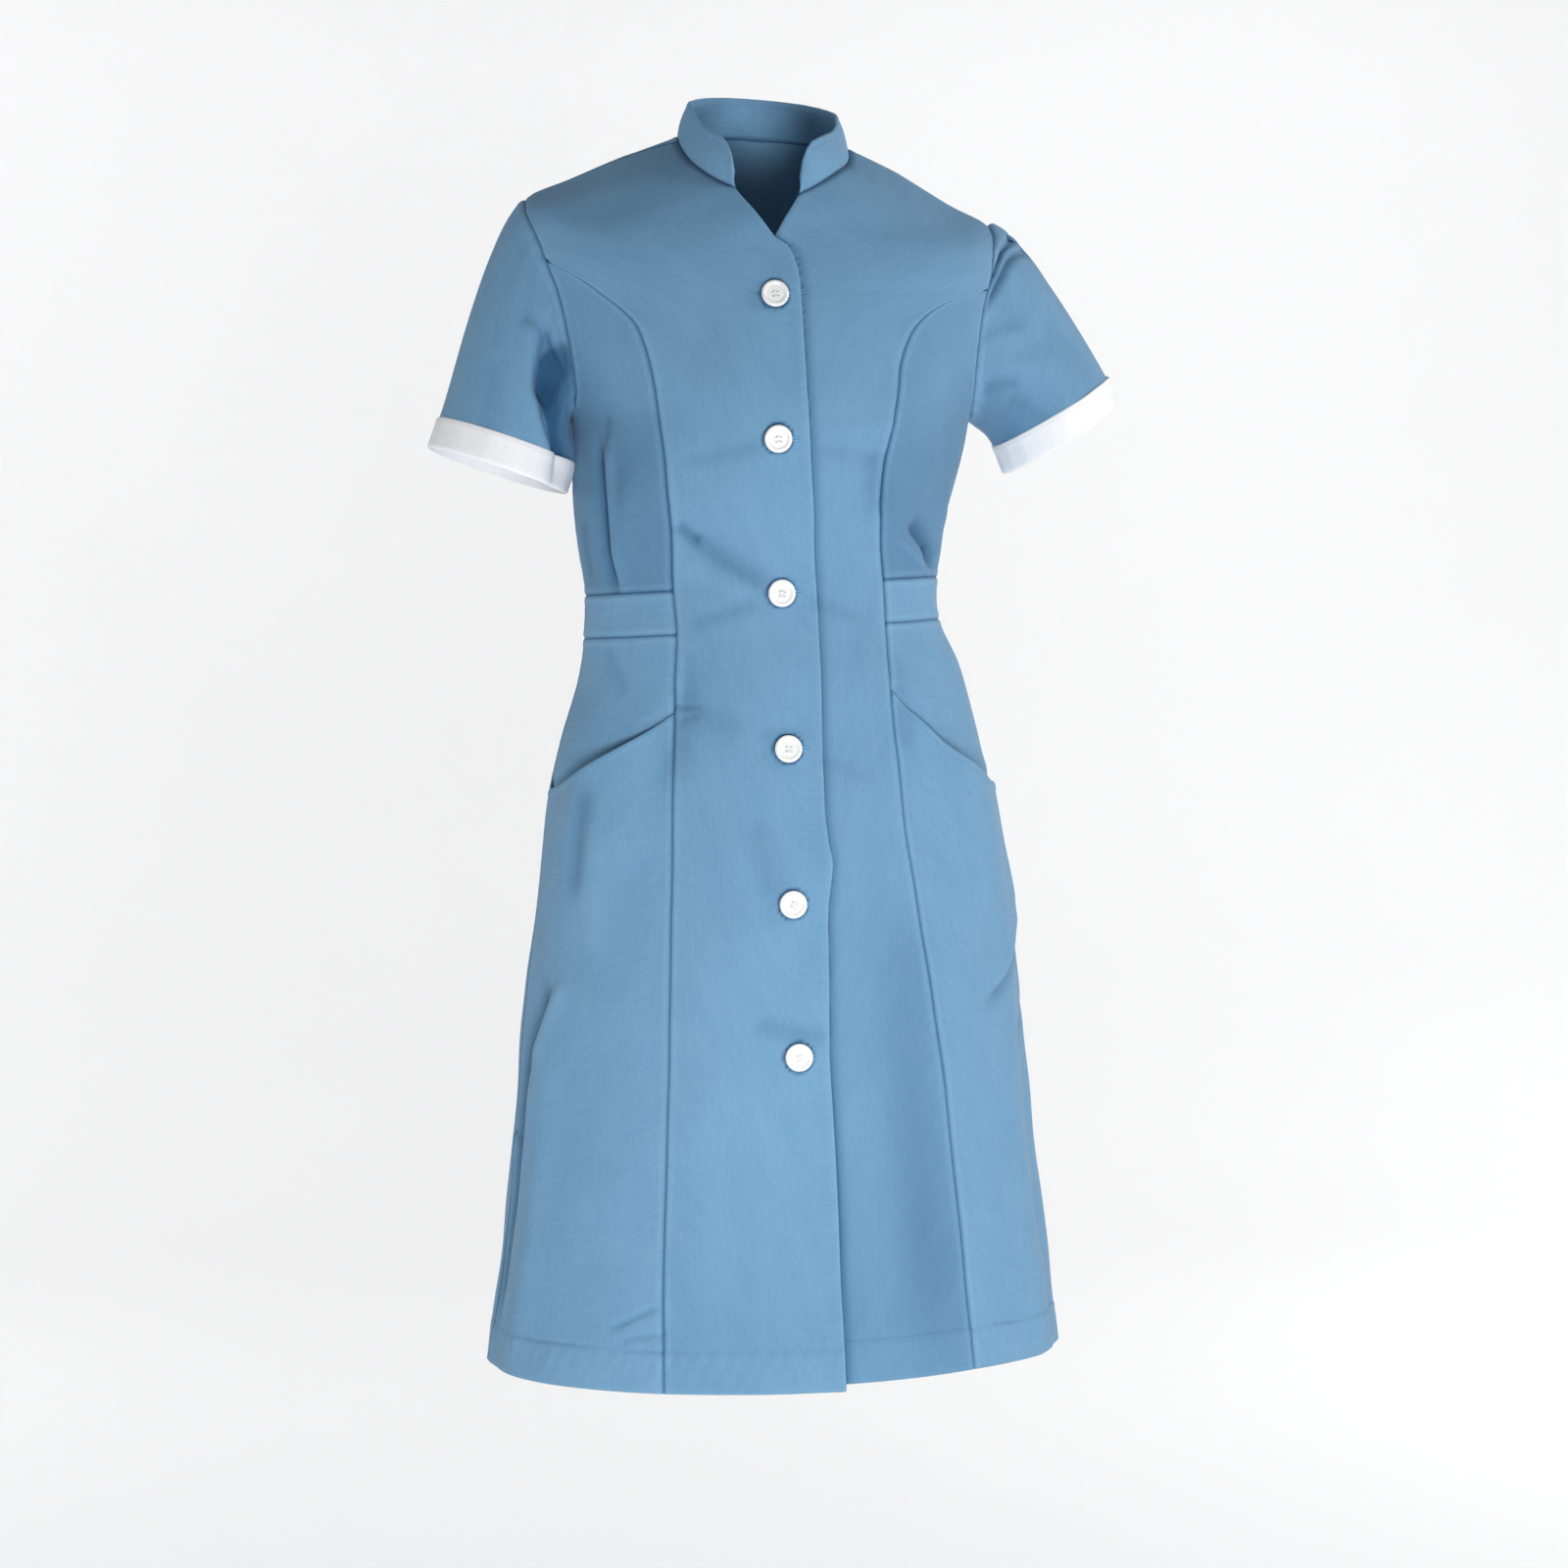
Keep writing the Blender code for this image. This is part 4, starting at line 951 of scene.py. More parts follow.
buttons = {
    "columns": ("x", "height", "turn"),
    "rows": (
        (-0.0061, -0.1007, 8.0),
        (-0.0062, -0.2097, 3.0),
        (0.0002, -0.3265, -6.0),
        (0.0030, -0.4455, 0.0),
        (0.0040, -0.5631, -24.0),
        (0.0064, -0.6782, 12.0),
    ),
    "radius": 0.0106,
    "thick": 0.0034,
    "standOff": 0.0007,
    "dish": 0.55,
    "holeRadius": 0.00100,
    "holeOff": 0.00165,
    "holeDepth": 0.0017,
    "rim": (0.62, 0.80),        # shares of the radius between which the dish rises to the rim
    "shoulder": 0.86,           # share of the radius where the edge begins to round over
    "inner": (0.00018, 0.0036),     # radii of the first and last ring of the face's close middle rings
    "innerRings": 20,
    "outer": 0.0038,
    "outerRings": 26,
    "under": ((1.00, -0.35), (0.95, -0.80), (0.82, -1.0), (0.30, -1.0), (0.02, -1.0)),
    "sides": 84,
    "shade": (0.0004, 0.0024),  # metres past the rim over which its shade on the cloth ends
}


def buttonTone(bare):
    # the cloth under and close round each button lies in its shade
    tone = np.zeros(bare.shape[:2])
    near, far = (buttons["radius"] + past for past in buttons["shade"])
    for x, height, _ in buttons["rows"]:
        away = np.hypot(bare[..., 0] - x, bare[..., 2] - height)
        tone = np.minimum(tone, softStep(away, near, far) - 1)
    return tone


fronts = {"rows": 350, "columns": 44, "span": 0.150, "hem": 0.030, "edgeRoll": 0.0005, "edgePale": 0.22,
          "lowShade": 0.14, "lowFrom": (0.70, 0.90)}


def levelGrid(top, bottom, rowShare, columns):
    return top + (bottom - top) * rowShare[:, None] + 0.0 * columns


def sideLine(side):
    # the side seam lies a quarter turn from the front
    return lambda at: side * np.full(at.shape, math.pi / 2)


def addFront(name, node, side, edgeName):
    top = princessTop(side)
    columns = spreadShares(fronts["span"], fronts["columns"])
    hem = form["hemLevel"] + max(side, 0) * form["leftHemRise"]
    level = levelGrid(form["neckLevel"], hem, np.linspace(0.0, 1.0, fronts["rows"]), columns)

    def outer(at):
        upper = np.where(at >= form["tipLevel"], math.pi / 2, armholeAngle(at, "frontAngle"))
        return side * np.where(at > top, upper, np.abs(princessAngle(at, side)))

    def extra(at, angle, share, bare, edges):
        free = edges["first"][0]
        more = lapLift(at, bare[..., 0], bare[..., 2], -side)
        # paler along the free edge, and painted shade makes the cloth a little darker towards the hem
        tone = fronts["edgePale"] * bell(free, 0.0014) - fronts["lowShade"] * softStep(-at, *fronts["lowFrom"])
        if side < 0:
            stand = np.interp(-at, -tableColumn(lapLook, "height"), tableColumn(lapLook, "lift"))
            more = more + stand * bell(free, lapLook["reach"])
            tone = tone + buttonTone(bare)
        else:
            # the cloth beside the upper front's edge lies in its shade
            past = bare[..., 0] - openingX(bare[..., 2], "upperX")
            aside = past - lapTone["bandAt"]
            # painted shade: the under front is darker all over, and more towards the hem
            tone = tone - lapTone["under"] - lapTone["low"] * softStep(-at, *lapTone["lowFrom"])
            tone = tone - lapTone["band"] * bell(aside, np.where(aside < 0, *lapTone["bandWidths"]))
            tone = tone - lapTone["line"] * bell(past - lapTone["lineAt"], lapTone["lineWidth"])
        return more + fronts["edgeRoll"] * bell(free - 0.004, 0.0035) - 0.0003 * bell(free, 0.0008), tone

    return layPanel(name, node, columns, level, lambda at: openingAngle(at, edgeName), outer,
                    ("last", "top"), extra, fronts["hem"])


sideBodices = {"rows": 110, "columns": 40, "span": 0.095, "length": 0.20, "dark": 0.13, "lowShade": 0.24,
               "lowFrom": (0.12, 0.26)}
waistbands = {"rows": 22, "columns": 44, "span": 0.090, "length": 0.0335, "lift": 0.0004, "creased": 0.3}
yokes = {"rows": 84, "columns": 40, "span": 0.105, "length": 0.25, "dip": 0.014, "gap": 0.0009,
         "depth": 0.150, "overlap": 0.0012, "inset": 0.06, "insetOver": 0.012, "tone": 0.05, "toneOver": 0.02}
sideSkirts = {"rows": 190, "columns": 62, "span": 0.150, "length": 0.50, "hem": 0.030, "bulge": 0.014,
              "roll": 0.0009, "stitchAt": 0.0065}


def addSideBodice(name, node, side):
    columns = spreadShares(sideBodices["span"], sideBodices["columns"])
    rowShare = spreadShares(sideBodices["length"], sideBodices["rows"], first=False)
    level = levelGrid(princessTop(side), form["waistTop"], rowShare, columns)

    def outer(at):
        return side * np.where(at > form["armholeLow"], armholeAngle(at, "frontAngle"), math.pi / 2)

    def extra(at, angle, share, bare, edges):
        # painted shade: a little darker than the fronts, most near the waist
        low = softStep(-at, *sideBodices["lowFrom"])
        return 0.0 * angle, -sideBodices["dark"] - sideBodices["lowShade"] * low

    return layPanel(name, node, columns, level, lambda at: princessAngle(at, side), outer,
                    ("first", "last", "bottom"), extra)


def addWaistband(name, node, firstAngle, lastAngle, columns):
    rowShare = spreadShares(waistbands["length"], waistbands["rows"])
    level = levelGrid(form["waistTop"], form["waistBottom"], rowShare, columns)

    def extra(at, angle, share, bare, edges):
        # a stiffened band keeps a little proud of the cloth above and below
        inside = softStep(edges["top"][0], 0.0, 0.004) * softStep(edges["bottom"][0], 0.0, 0.004)
        return waistbands["lift"] * inside, 0.0 * angle

    return layPanel(name, node, columns, level, firstAngle, lastAngle, ("first", "last", "top", "bottom"),
                    extra, creased=waistbands["creased"])


def addYoke(name, node, side, sideName):
    columns = spreadShares(yokes["span"], yokes["columns"])
    mouth = mouthLevel(columns, sideName) + yokes["overlap"]
    bottom = float(mouthLevel(0.5, sideName)) - yokes["depth"]
    rowShare = spreadShares(yokes["length"], yokes["rows"], last=False)
    level = levelGrid(form["waistBottom"], bottom, rowShare, columns)

    def inset(at):
        # how far both edges come in behind the side skirt
        seam = princessAngle(at, side)
        return (side * math.pi / 2 - seam) * yokes["inset"] * softStep(mouth - at, 0.0, yokes["insetOver"])

    def extra(at, angle, share, bare, edges):
        # below the mouth the piece goes behind the side skirt, as the pocket's back
        behind = softStep(mouth + yokes["dip"] - at, 0.0, yokes["dip"])
        # painted shade: darker below the mouth, inside the pocket
        tone = -yokes["tone"] * softStep(mouth - at, 0.0, yokes["toneOver"])
        return -(form["wall"] + yokes["gap"]) * behind, tone

    return layPanel(name, node, columns, level, lambda at: princessAngle(at, side) + inset(at),
                    lambda at: side * math.pi / 2 - inset(at), ("first", "last", "top"), extra)


def addSideSkirt(name, node, side, sideName):
    columns = spreadShares(sideSkirts["span"], sideSkirts["columns"])
    mouth = mouthLevel(columns, sideName)
    hem = form["hemLevel"] + max(side, 0) * form["leftHemRise"] * (1 - columns)
    rowShare = spreadShares(sideSkirts["length"], sideSkirts["rows"], last=False)
    level = levelGrid(mouth, hem, rowShare, columns)

    def extra(at, angle, share, bare, edges):
        # the mouth stands open most in its middle, its edge is a soft roll, its stitching a shallow groove
        below = 1 - softStep((mouth - at) / yokes["depth"], 0.1, 1.0)
        bulge = sideSkirts["bulge"] * np.sin(math.pi * share ** 0.75) ** 3.0 * below
        edge = edges["top"][0]
        fromStitch = edge - sideSkirts["stitchAt"]
        roll = sideSkirts["roll"] * bell(edge - 0.0035, 0.0035) - 0.0004 * bell(fromStitch, 0.0010)
        # paler along the mouth's edge, and painted shade in the stitching's groove
        return bulge + roll, 0.08 * bell(edge, 0.0014) - 0.14 * bell(fromStitch, 0.0008)

    return layPanel(name, node, columns, level, lambda at: princessAngle(at, side), sideLine(side),
                    ("first", "last"), extra, sideSkirts["hem"])


backs = {"bodiceRows": 104, "bodiceColumns": 112, "skirtRows": 160, "skirtColumns": 140, "bandColumns": 112,
         "hem": 0.030, "waistSpan": 0.36, "bodiceLength": 0.36, "skirtSpan": 0.50, "skirtLength": 0.575}


def backFirst(at):
    angle = np.where(at >= form["tipLevel"], math.pi / 2, armholeAngle(at, "backAngle"))
    return math.pi - np.where(at <= form["armholeLow"], math.pi / 2, angle)


def backLast(at):
    return 2 * math.pi - backFirst(at)


def addBacks():
    columns = spreadShares(backs["waistSpan"], backs["bodiceColumns"])
    rowShare = spreadShares(backs["bodiceLength"], backs["bodiceRows"])
    layPanel("backBodice", "back_bodice", columns,
             levelGrid(form["neckLevel"], form["waistTop"], rowShare, columns),
             backFirst, backLast, ("first", "last", "top", "bottom"))
    addWaistband("backWaistband", "back_waistband", backFirst, backLast,
                 spreadShares(backs["waistSpan"], backs["bandColumns"]))
    columns = spreadShares(backs["skirtSpan"], backs["skirtColumns"])
    rowShare = spreadShares(backs["skirtLength"], backs["skirtRows"], last=False)
    return layPanel("backSkirt", "back_skirt", columns,
                    levelGrid(form["waistBottom"], form["hemLevel"], rowShare, columns),
                    backFirst, backLast, ("first", "last", "top"), None, backs["hem"])


def addSide(sideName, side):
    cap = sideName.capitalize()
    addSideBodice("sideBodice" + cap, "side_bodice_" + sideName, side)
    columns = spreadShares(waistbands["span"], waistbands["columns"])
    addWaistband("waistband" + cap, "waistband_" + sideName, lambda at: princessAngle(at, side),
                 sideLine(side), columns)
    addYoke("pocketYoke" + cap, "pocket_yoke_" + sideName, side, sideName)
    return addSideSkirt("sideSkirt" + cap, "side_skirt_" + sideName, side, sideName)


hemmed = {   # the panels with a hem, by name
    "FrontLeft": addFront("frontLeft", "front_left", 1, "lowerX"),
    "FrontRight": addFront("frontRight", "front_right", -1, "upperX"),
    "SideSkirtRight": addSide("right", -1),
    "SideSkirtLeft": addSide("left", 1),
    "BackSkirt": addBacks(),
}
print("body panels made")


# sleeves and cuffs

sleeves = {
    "columns": ("side", "centreX", "centreY", "centreZ", "lean", "leanBack", "halfWidth", "halfDepth", "hang",
                "flare", "capRise"),
    "rows": (
        ("right", -0.2026, 0.008, -0.2085, 18.5, 0.0, 0.0532, 0.0590, 16.0, 0.0015, 0.25),
        ("left", 0.2425, 0.028, -0.1810, 32.0, 0.0, 0.0520, 0.0590, 14.0, -0.0030, 2.10),
    ),
    "around": 216,
    "down": 96,
    "nearSteps": (0.0, 0.004, 0.009, 0.015, 0.023, 0.033, 0.046, 0.062),
    "leaveReach": 0.074,
    "arriveReach": 0.110,
    "darkWidth": 0.0016,
    "cuffDepth": 0.0225,
    "cuffWall": 0.0022,
    "cuffStitchAt": 0.0030,
}

sleeveFolds = {   # turn 0 is the armhole's lowest point, a quarter is in front; way 0 the armhole, 1 the cuff
    "columns": ("turn1", "way1", "turn2", "way2", "widthMinus", "widthPlus", "depth"),
    "right": (
        (0.17, 0.22, 0.12, 0.98, 0.050, 0.050, 0.0010),
        (0.25, 0.30, 0.21, 1.00, 0.045, 0.045, -0.0010),
        (0.33, 0.10, 0.24, 0.55, 0.040, 0.040, 0.0020),
        (0.80, 0.25, 0.88, 0.95, 0.050, 0.050, 0.0050),
        (0.66, 0.15, 0.72, 0.80, 0.050, 0.050, -0.0035),
    ),
    "left": (
        (0.14, 0.20, 0.26, 0.70, 0.045, 0.045, 0.0030),
        (0.22, 0.30, 0.36, 0.75, 0.045, 0.045, -0.0025),
        (0.40, 0.02, 0.28, 0.35, 0.035, 0.035, 0.0025),
        (0.80, 0.25, 0.88, 0.95, 0.050, 0.050, 0.0050),
        (0.68, 0.15, 0.72, 0.80, 0.050, 0.050, -0.0035),
    ),
}

sleeveCreases = {   # widths in metres on the cloth, minus on the side of the smaller turn
    "columns": ("turn1", "way1", "turn2", "way2", "widthMinus", "widthPlus", "depth"),
    "around": 0.36,
    "down": 0.11,
    "ends": (-0.10, 0.14, 0.84, 1.10),
    "toneShare": 0.6,
    "darkest": -0.5,
    "right": (
        (0.245, 0.26, 0.205, 0.62, 0.0230, 0.0070, -0.0080),
        (0.214, 0.48, 0.098, 1.02, 0.0200, 0.0070, -0.0100),
        (0.305, 0.34, 0.140, 1.00, 0.0060, 0.0120, 0.0018),
        (0.165, 0.02, 0.160, 0.62, 0.0220, 0.0180, -0.0050),
        (0.010, 0.22, 0.020, 1.06, 0.0140, 0.0140, 0.0054),
        (0.225, 0.22, 0.320, 0.37, 0.0040, 0.0060, -0.0022),
        (0.400, 0.10, 0.360, 0.60, 0.0080, 0.0060, -0.0010),
        (0.345, 0.62, 0.300, 0.98, 0.0100, 0.0080, -0.0010),
        (0.560, 0.05, 0.600, 0.50, 0.0080, 0.0080, -0.0014),
        (0.740, 0.30, 0.800, 0.90, 0.0070, 0.0090, -0.0024),
        (0.880, 0.20, 0.930, 0.90, 0.0080, 0.0060, -0.0024),
    ),
    "left": (
        (0.305, -0.01, 0.505, 0.26, 0.0032, 0.0040, -0.0060),
        (0.288, 0.04, 0.490, 0.33, 0.0036, 0.0032, -0.0058),
        (0.300, 0.02, 0.490, 0.295, 0.0022, 0.0022, 0.0012),
        (0.222, 0.00, 0.300, 0.40, 0.0050, 0.0070, -0.0022),
        (0.128, 0.16, 0.192, 0.54, 0.0050, 0.0070, -0.0024),
        (0.165, 0.10, 0.250, 0.60, 0.0070, 0.0060, 0.0012),
        (0.150, 0.55, 0.195, 0.96, 0.0070, 0.0070, -0.0016),
        (0.340, 0.50, 0.360, 0.90, 0.0090, 0.0090, -0.0010),
        (0.600, 0.05, 0.640, 0.50, 0.0070, 0.0070, -0.0016),
        (0.760, 0.20, 0.820, 0.80, 0.0070, 0.0090, -0.0024),
    ),
}


def armholeLoop(side, count):
    # the armhole edge from its lowest point up the front, over the tip and down the back, evenly by distance
    knots = tableColumn(armhole, "level")
    step = np.linspace(0.0, len(knots) - 1.0, 400)
    up = np.interp(step, np.arange(len(knots)), knots[::-1])
    levels = np.concatenate([up, up[::-1][1:-1]])
    isFront = np.arange(len(levels)) < len(up)
    front, back = (armholeAngle(levels, name) for name in ("frontAngle", "backAngle"))
    angles = np.where(isFront, front, math.pi - back)
    dense = barePoint(levels, side * angles)
    gaps = np.linalg.norm(np.roll(dense, -1, axis=0) - dense, axis=1)
    run = np.concatenate([[0.0], np.cumsum(gaps)])
    turn = np.arange(count) / count
    level = np.interp(turn * run[-1], run, np.append(levels, levels[0]))
    angle = side * np.interp(turn * run[-1], run, np.append(angles, angles[0]))
    normal = bareNormal(level, angle)
    points = barePoint(level, angle) + normal * clothLift(level, angle)[:, None]
    ahead = unitRows(np.roll(points, -1, axis=0) - np.roll(points, 1, axis=0))
    return turn, points, unitRows(np.cross(normal, ahead)) * (-side)


def cuffRing(side, values, turn, drop):
    # an ellipse in a leaning plane; it moves down along the hang direction by the drop
    lean, back, hang = (math.radians(values[name]) for name in ("lean", "leanBack", "hang"))

    def downwards(tilt):
        level = math.cos(back)
        return np.array([side * math.sin(tilt) * level, math.sin(back), -math.cos(tilt) * level])

    axis = downwards(lean)
    outer = np.array([side * math.cos(lean), 0.0, math.sin(lean)])
    depth = np.cross(outer, axis) * (-side)
    centre = np.array([values["centreX"], values["centreY"], values["centreZ"]])
    angle = 2 * math.pi * turn[None, :, None]
    drop = np.asarray(drop)[:, None, None]
    grow = values["flare"] * drop / sleeves["cuffDepth"]
    wide, deep = values["halfWidth"] + grow, values["halfDepth"] + grow
    return centre - np.cos(angle) * outer * wide + np.sin(angle) * depth * deep + downwards(hang) * drop, axis


def sleeveFoldLift(sideName, turn, way):
    # sum of the sleeve's large folds: a bell of the turn away from each run
    total = np.zeros(np.broadcast(turn, way).shape)
    for turn1, way1, turn2, way2, widthMinus, widthPlus, depth in sleeveFolds[sideName]:
        part = np.clip((way - way1) / (way2 - way1), 0.0, 1.0)
        across = (turn - (turn1 + (turn2 - turn1) * part) + 0.5) % 1.0 - 0.5
        fade = softStep(way, way1 - 0.02, way1 + 0.25) * (1 - 0.75 * softStep(way, way2 - 0.30, way2 + 0.05))
        total = total + depth * fade * bell(across, np.where(across < 0, widthMinus, widthPlus))
    return total * softStep(way, 0.02, 0.25)


def sleeveCreaseLift(sideName, turn, way):
    # sum of the creases on the sleeve laid flat
    around, down = sleeveCreases["around"], sleeveCreases["down"]
    total = np.zeros(np.broadcast(turn, way).shape)
    for turn1, way1, turn2, way2, widthMinus, widthPlus, depth in sleeveCreases[sideName]:
        across = ((turn - turn1 + 0.5) % 1.0 - 0.5) * around
        runAcross, runDown = (turn2 - turn1) * around, (way2 - way1) * down
        total = total + depth * runBell(across, (way - way1) * down, runAcross, runDown,
                                        (widthMinus, widthPlus), sleeveCreases["ends"])
    return total * softStep(way, 0.0, 0.03)


def sleeveHollow(sideName, turn, way):
    # cloth deep in the right sleeve's fold and low in the left sleeve is darker: light seldom reaches it
    if sideName == "left":
        return -0.42 * softStep(0.25 - turn, 0.0, 0.16) * softStep(way, 0.0, 0.3)
    edge = np.interp(way, [0.0, 0.25, 0.42, 0.55, 0.69, 0.97], [0.205, 0.226, 0.244, 0.222, 0.160, 0.107])
    inside = softStep(edge - turn, 0.0, 0.022) * softStep(turn, 0.0, 0.05)
    return -0.60 * inside * softStep(way, 0.0, 0.05)


def addSleeve(row):
    # each line from the armhole to the cuff is a cubic that leaves outwards and arrives along the cuff's axis
    values = dict(zip(sleeves["columns"], row))
    sideName = values["side"]
    side = -1 if sideName == "right" else 1
    turn, start, edgeOut = armholeLoop(side, sleeves["around"])
    ends, axis = cuffRing(side, values, turn, [0.0])
    fromTop = np.abs(turn - 0.5)[:, None]
    cap = 1 - softStep(fromTop, 0.08, 0.34)
    fromEdge = 1 - softStep(fromTop, 0.22, 0.48)
    outwards, upwards = np.array([side, 0.0, 0.0]), np.array([0.0, 0.0, 1.0])
    pull = outwards * (0.55 + 0.55 * cap) + upwards * values["capRise"] * cap ** 2
    lead = unitRows(edgeOut * fromEdge + pull + axis * (0.8 - 0.8 * np.maximum(cap, 0.6 * fromEdge)))
    reach = np.linalg.norm(ends[0] - start, axis=1)[:, None]
    way = np.concatenate([sleeves["nearSteps"], np.linspace(0.08, 1.0, sleeves["down"])])[:, None]
    leave = lead * np.minimum(reach * 0.9, sleeves["leaveReach"])
    arrive = axis * np.minimum(reach, sleeves["arriveReach"])
    points = cubic(start, leave, ends[0], arrive, way[..., None])
    outward = gridNormals(points, True) * side
    down = travelled(points, 0)
    along = turn * sleeveCreases["around"]
    crease = sleeveCreaseLift(sideName, turn, way)
    creased = sleeveFoldLift(sideName, turn, way) + crease
    lift = creased + 0.0003 * np.sin(14 * math.pi * turn + 9.0 * way) * softStep(way, 0.1, 0.4)
    lift = lift - 0.0010 * bell(down, 0.0012) + 0.0008 * bell(down - 0.0045, 0.0030)
    lift = lift + 0.00025 * np.sin(2 * math.pi * along / 0.012) * np.exp(-down / 0.010)
    points = points + outward * lift[..., None]
    # painted shade in the creases, kept from going too dark, and painted highlight on their ridges; painted
    # shade in the seam and the hollows
    tone = np.maximum(sleeveCreases["toneShare"] * creaseShadeAndHighlight(crease), sleeveCreases["darkest"])
    paintedShadeAndWear = seamTone(down, sleeves["darkWidth"]) + sleeveHollow(sideName, turn, way) + tone
    addShell("sleeve" + sideName.capitalize(), "sleeve_" + sideName, points, gridNormals(points, True) * side,
             form["wall"], paintedShadeAndWear, ring=True)
    addCuff(sideName, side, values, turn, creased[-1])


cuffLook = {
    "topDrops": (-0.0022, -0.0015, -0.0006),
    "evenFrom": 0.0006,
    "evenTo": 0.0012,           # short of the fold
    "evenRows": 14,
    "foldSteps": (0.0006, 0.0001),
    "standOff": 0.0013,
    "stitchRise": (0.0003, 0.002),
    "stitchDip": (0.0002, 0.0008),
    "topDip": (0.0003, 0.0008),
    "foldDip": (0.0007, 0.0007),
    "foldThin": (0.0010, 0.0010),
    "wave": 0.00015,
    "waves": 17,
    "liftLost": 0.6,            # share of the sleeve's end lift that fades out down the cuff
    "stitchDark": (0.10, 0.0007),
    "innerShade": 0.42,          # on the right cuff's inner side, up to innerTurn
    "innerTurn": 0.12,
    "innerOver": 0.08,
}


def addCuff(sideName, side, values, turn, endLift):
    # the turned-up band: starts just above the sleeve's end outside it, and ends in a rounded fold
    depth, cap = sleeves["cuffDepth"], sideName.capitalize()
    even = np.linspace(cuffLook["evenFrom"], depth - cuffLook["evenTo"], cuffLook["evenRows"])
    drop = np.concatenate([cuffLook["topDrops"], even, depth - np.array(cuffLook["foldSteps"])])
    points, _ = cuffRing(side, values, turn, drop)
    outward = gridNormals(points, True) * side
    fromTop, fromEnd = (drop - drop[0])[:, None], (drop[-1] - drop)[:, None]
    fromStitch = fromTop - sleeves["cuffStitchAt"]
    lift = cuffLook["standOff"] + mark(cuffLook, "stitchRise", fromStitch) - mark(cuffLook, "topDip", fromTop)
    lift = lift - mark(cuffLook, "foldDip", fromEnd) - mark(cuffLook, "stitchDip", fromStitch)
    lift = lift + cuffLook["wave"] * np.sin(2 * math.pi * turn * cuffLook["waves"] + 2.0 * np.sin(turn * 9))
    lift = lift + endLift * (1 - cuffLook["liftLost"] * softStep(drop, 0.0, depth))[:, None]
    points = points + outward * lift[..., None]
    outward = gridNormals(points, True) * side
    thickness = sleeves["cuffWall"] - mark(cuffLook, "foldThin", fromEnd)
    # painted shade in the stitching's groove, and on the right cuff's inner side that turns away from the
    # light
    paintedShadeAndWear = -mark(cuffLook, "stitchDark", fromStitch)
    if sideName == "right":
        inner = softStep(cuffLook["innerTurn"] - turn, 0.0, cuffLook["innerOver"])
        paintedShadeAndWear = paintedShadeAndWear - cuffLook["innerShade"] * inner
    addShell("cuff" + cap, "cuff_" + sideName, points, outward, thickness, paintedShadeAndWear,
             "whiteCloth", ring=True)
    stitched = np.argmin(np.abs(fromStitch))
    stitchRows.append(("cuffStitches" + cap, points[stitched] + outward[stitched] * sleeves["cuffWall"] / 2,
                       outward[stitched], True, "whiteThread", "white_cloth"))


stitchRows = []
for sleeveRow in sleeves["rows"]:
    addSleeve(sleeveRow)
print("sleeves and cuffs made")


# collar

collarForm = {
    "columns": ("distance", "height", "leanIn"),
    "rows": (
        (0.000, 0.0120, 0.06),
        (0.003, 0.0235, 0.08),
        (0.008, 0.0305, 0.12),
        (0.016, 0.0340, 0.18),
        (0.030, 0.0325, 0.28),
        (0.055, 0.0290, 0.38),
        (0.090, 0.0290, 0.34),
        (0.160, 0.0300, 0.26),
    ),
    "around": 260,
    "up": 20,
    "upLength": 0.031,
    "wall": 0.0022,
    "stitchIn": 0.0042,
    "endSteps": (0.0, 0.0004, 0.0009, 0.0015, 0.0022, 0.0030, 0.0040, 0.0052, 0.0066),
    "evenFrom": 0.0085,
    "middle": (0.002, 0.002, 0.0),
    "bow": 0.0012,
    "gap": 0.0006,
    "seamDip": (0.0010, 0.0010),
    "edgeRise": (0.0004, 0.0022),
    "stitchDip": (0.0003, 0.0009),
    "ripple": (0.00018, 0.010),
    "wave": 0.0005,
    "seamDark": (0.35, 0.0012),
    "edgePale": (0.08, 0.0013),
    "stitchDark": (0.12, 0.0008),
}


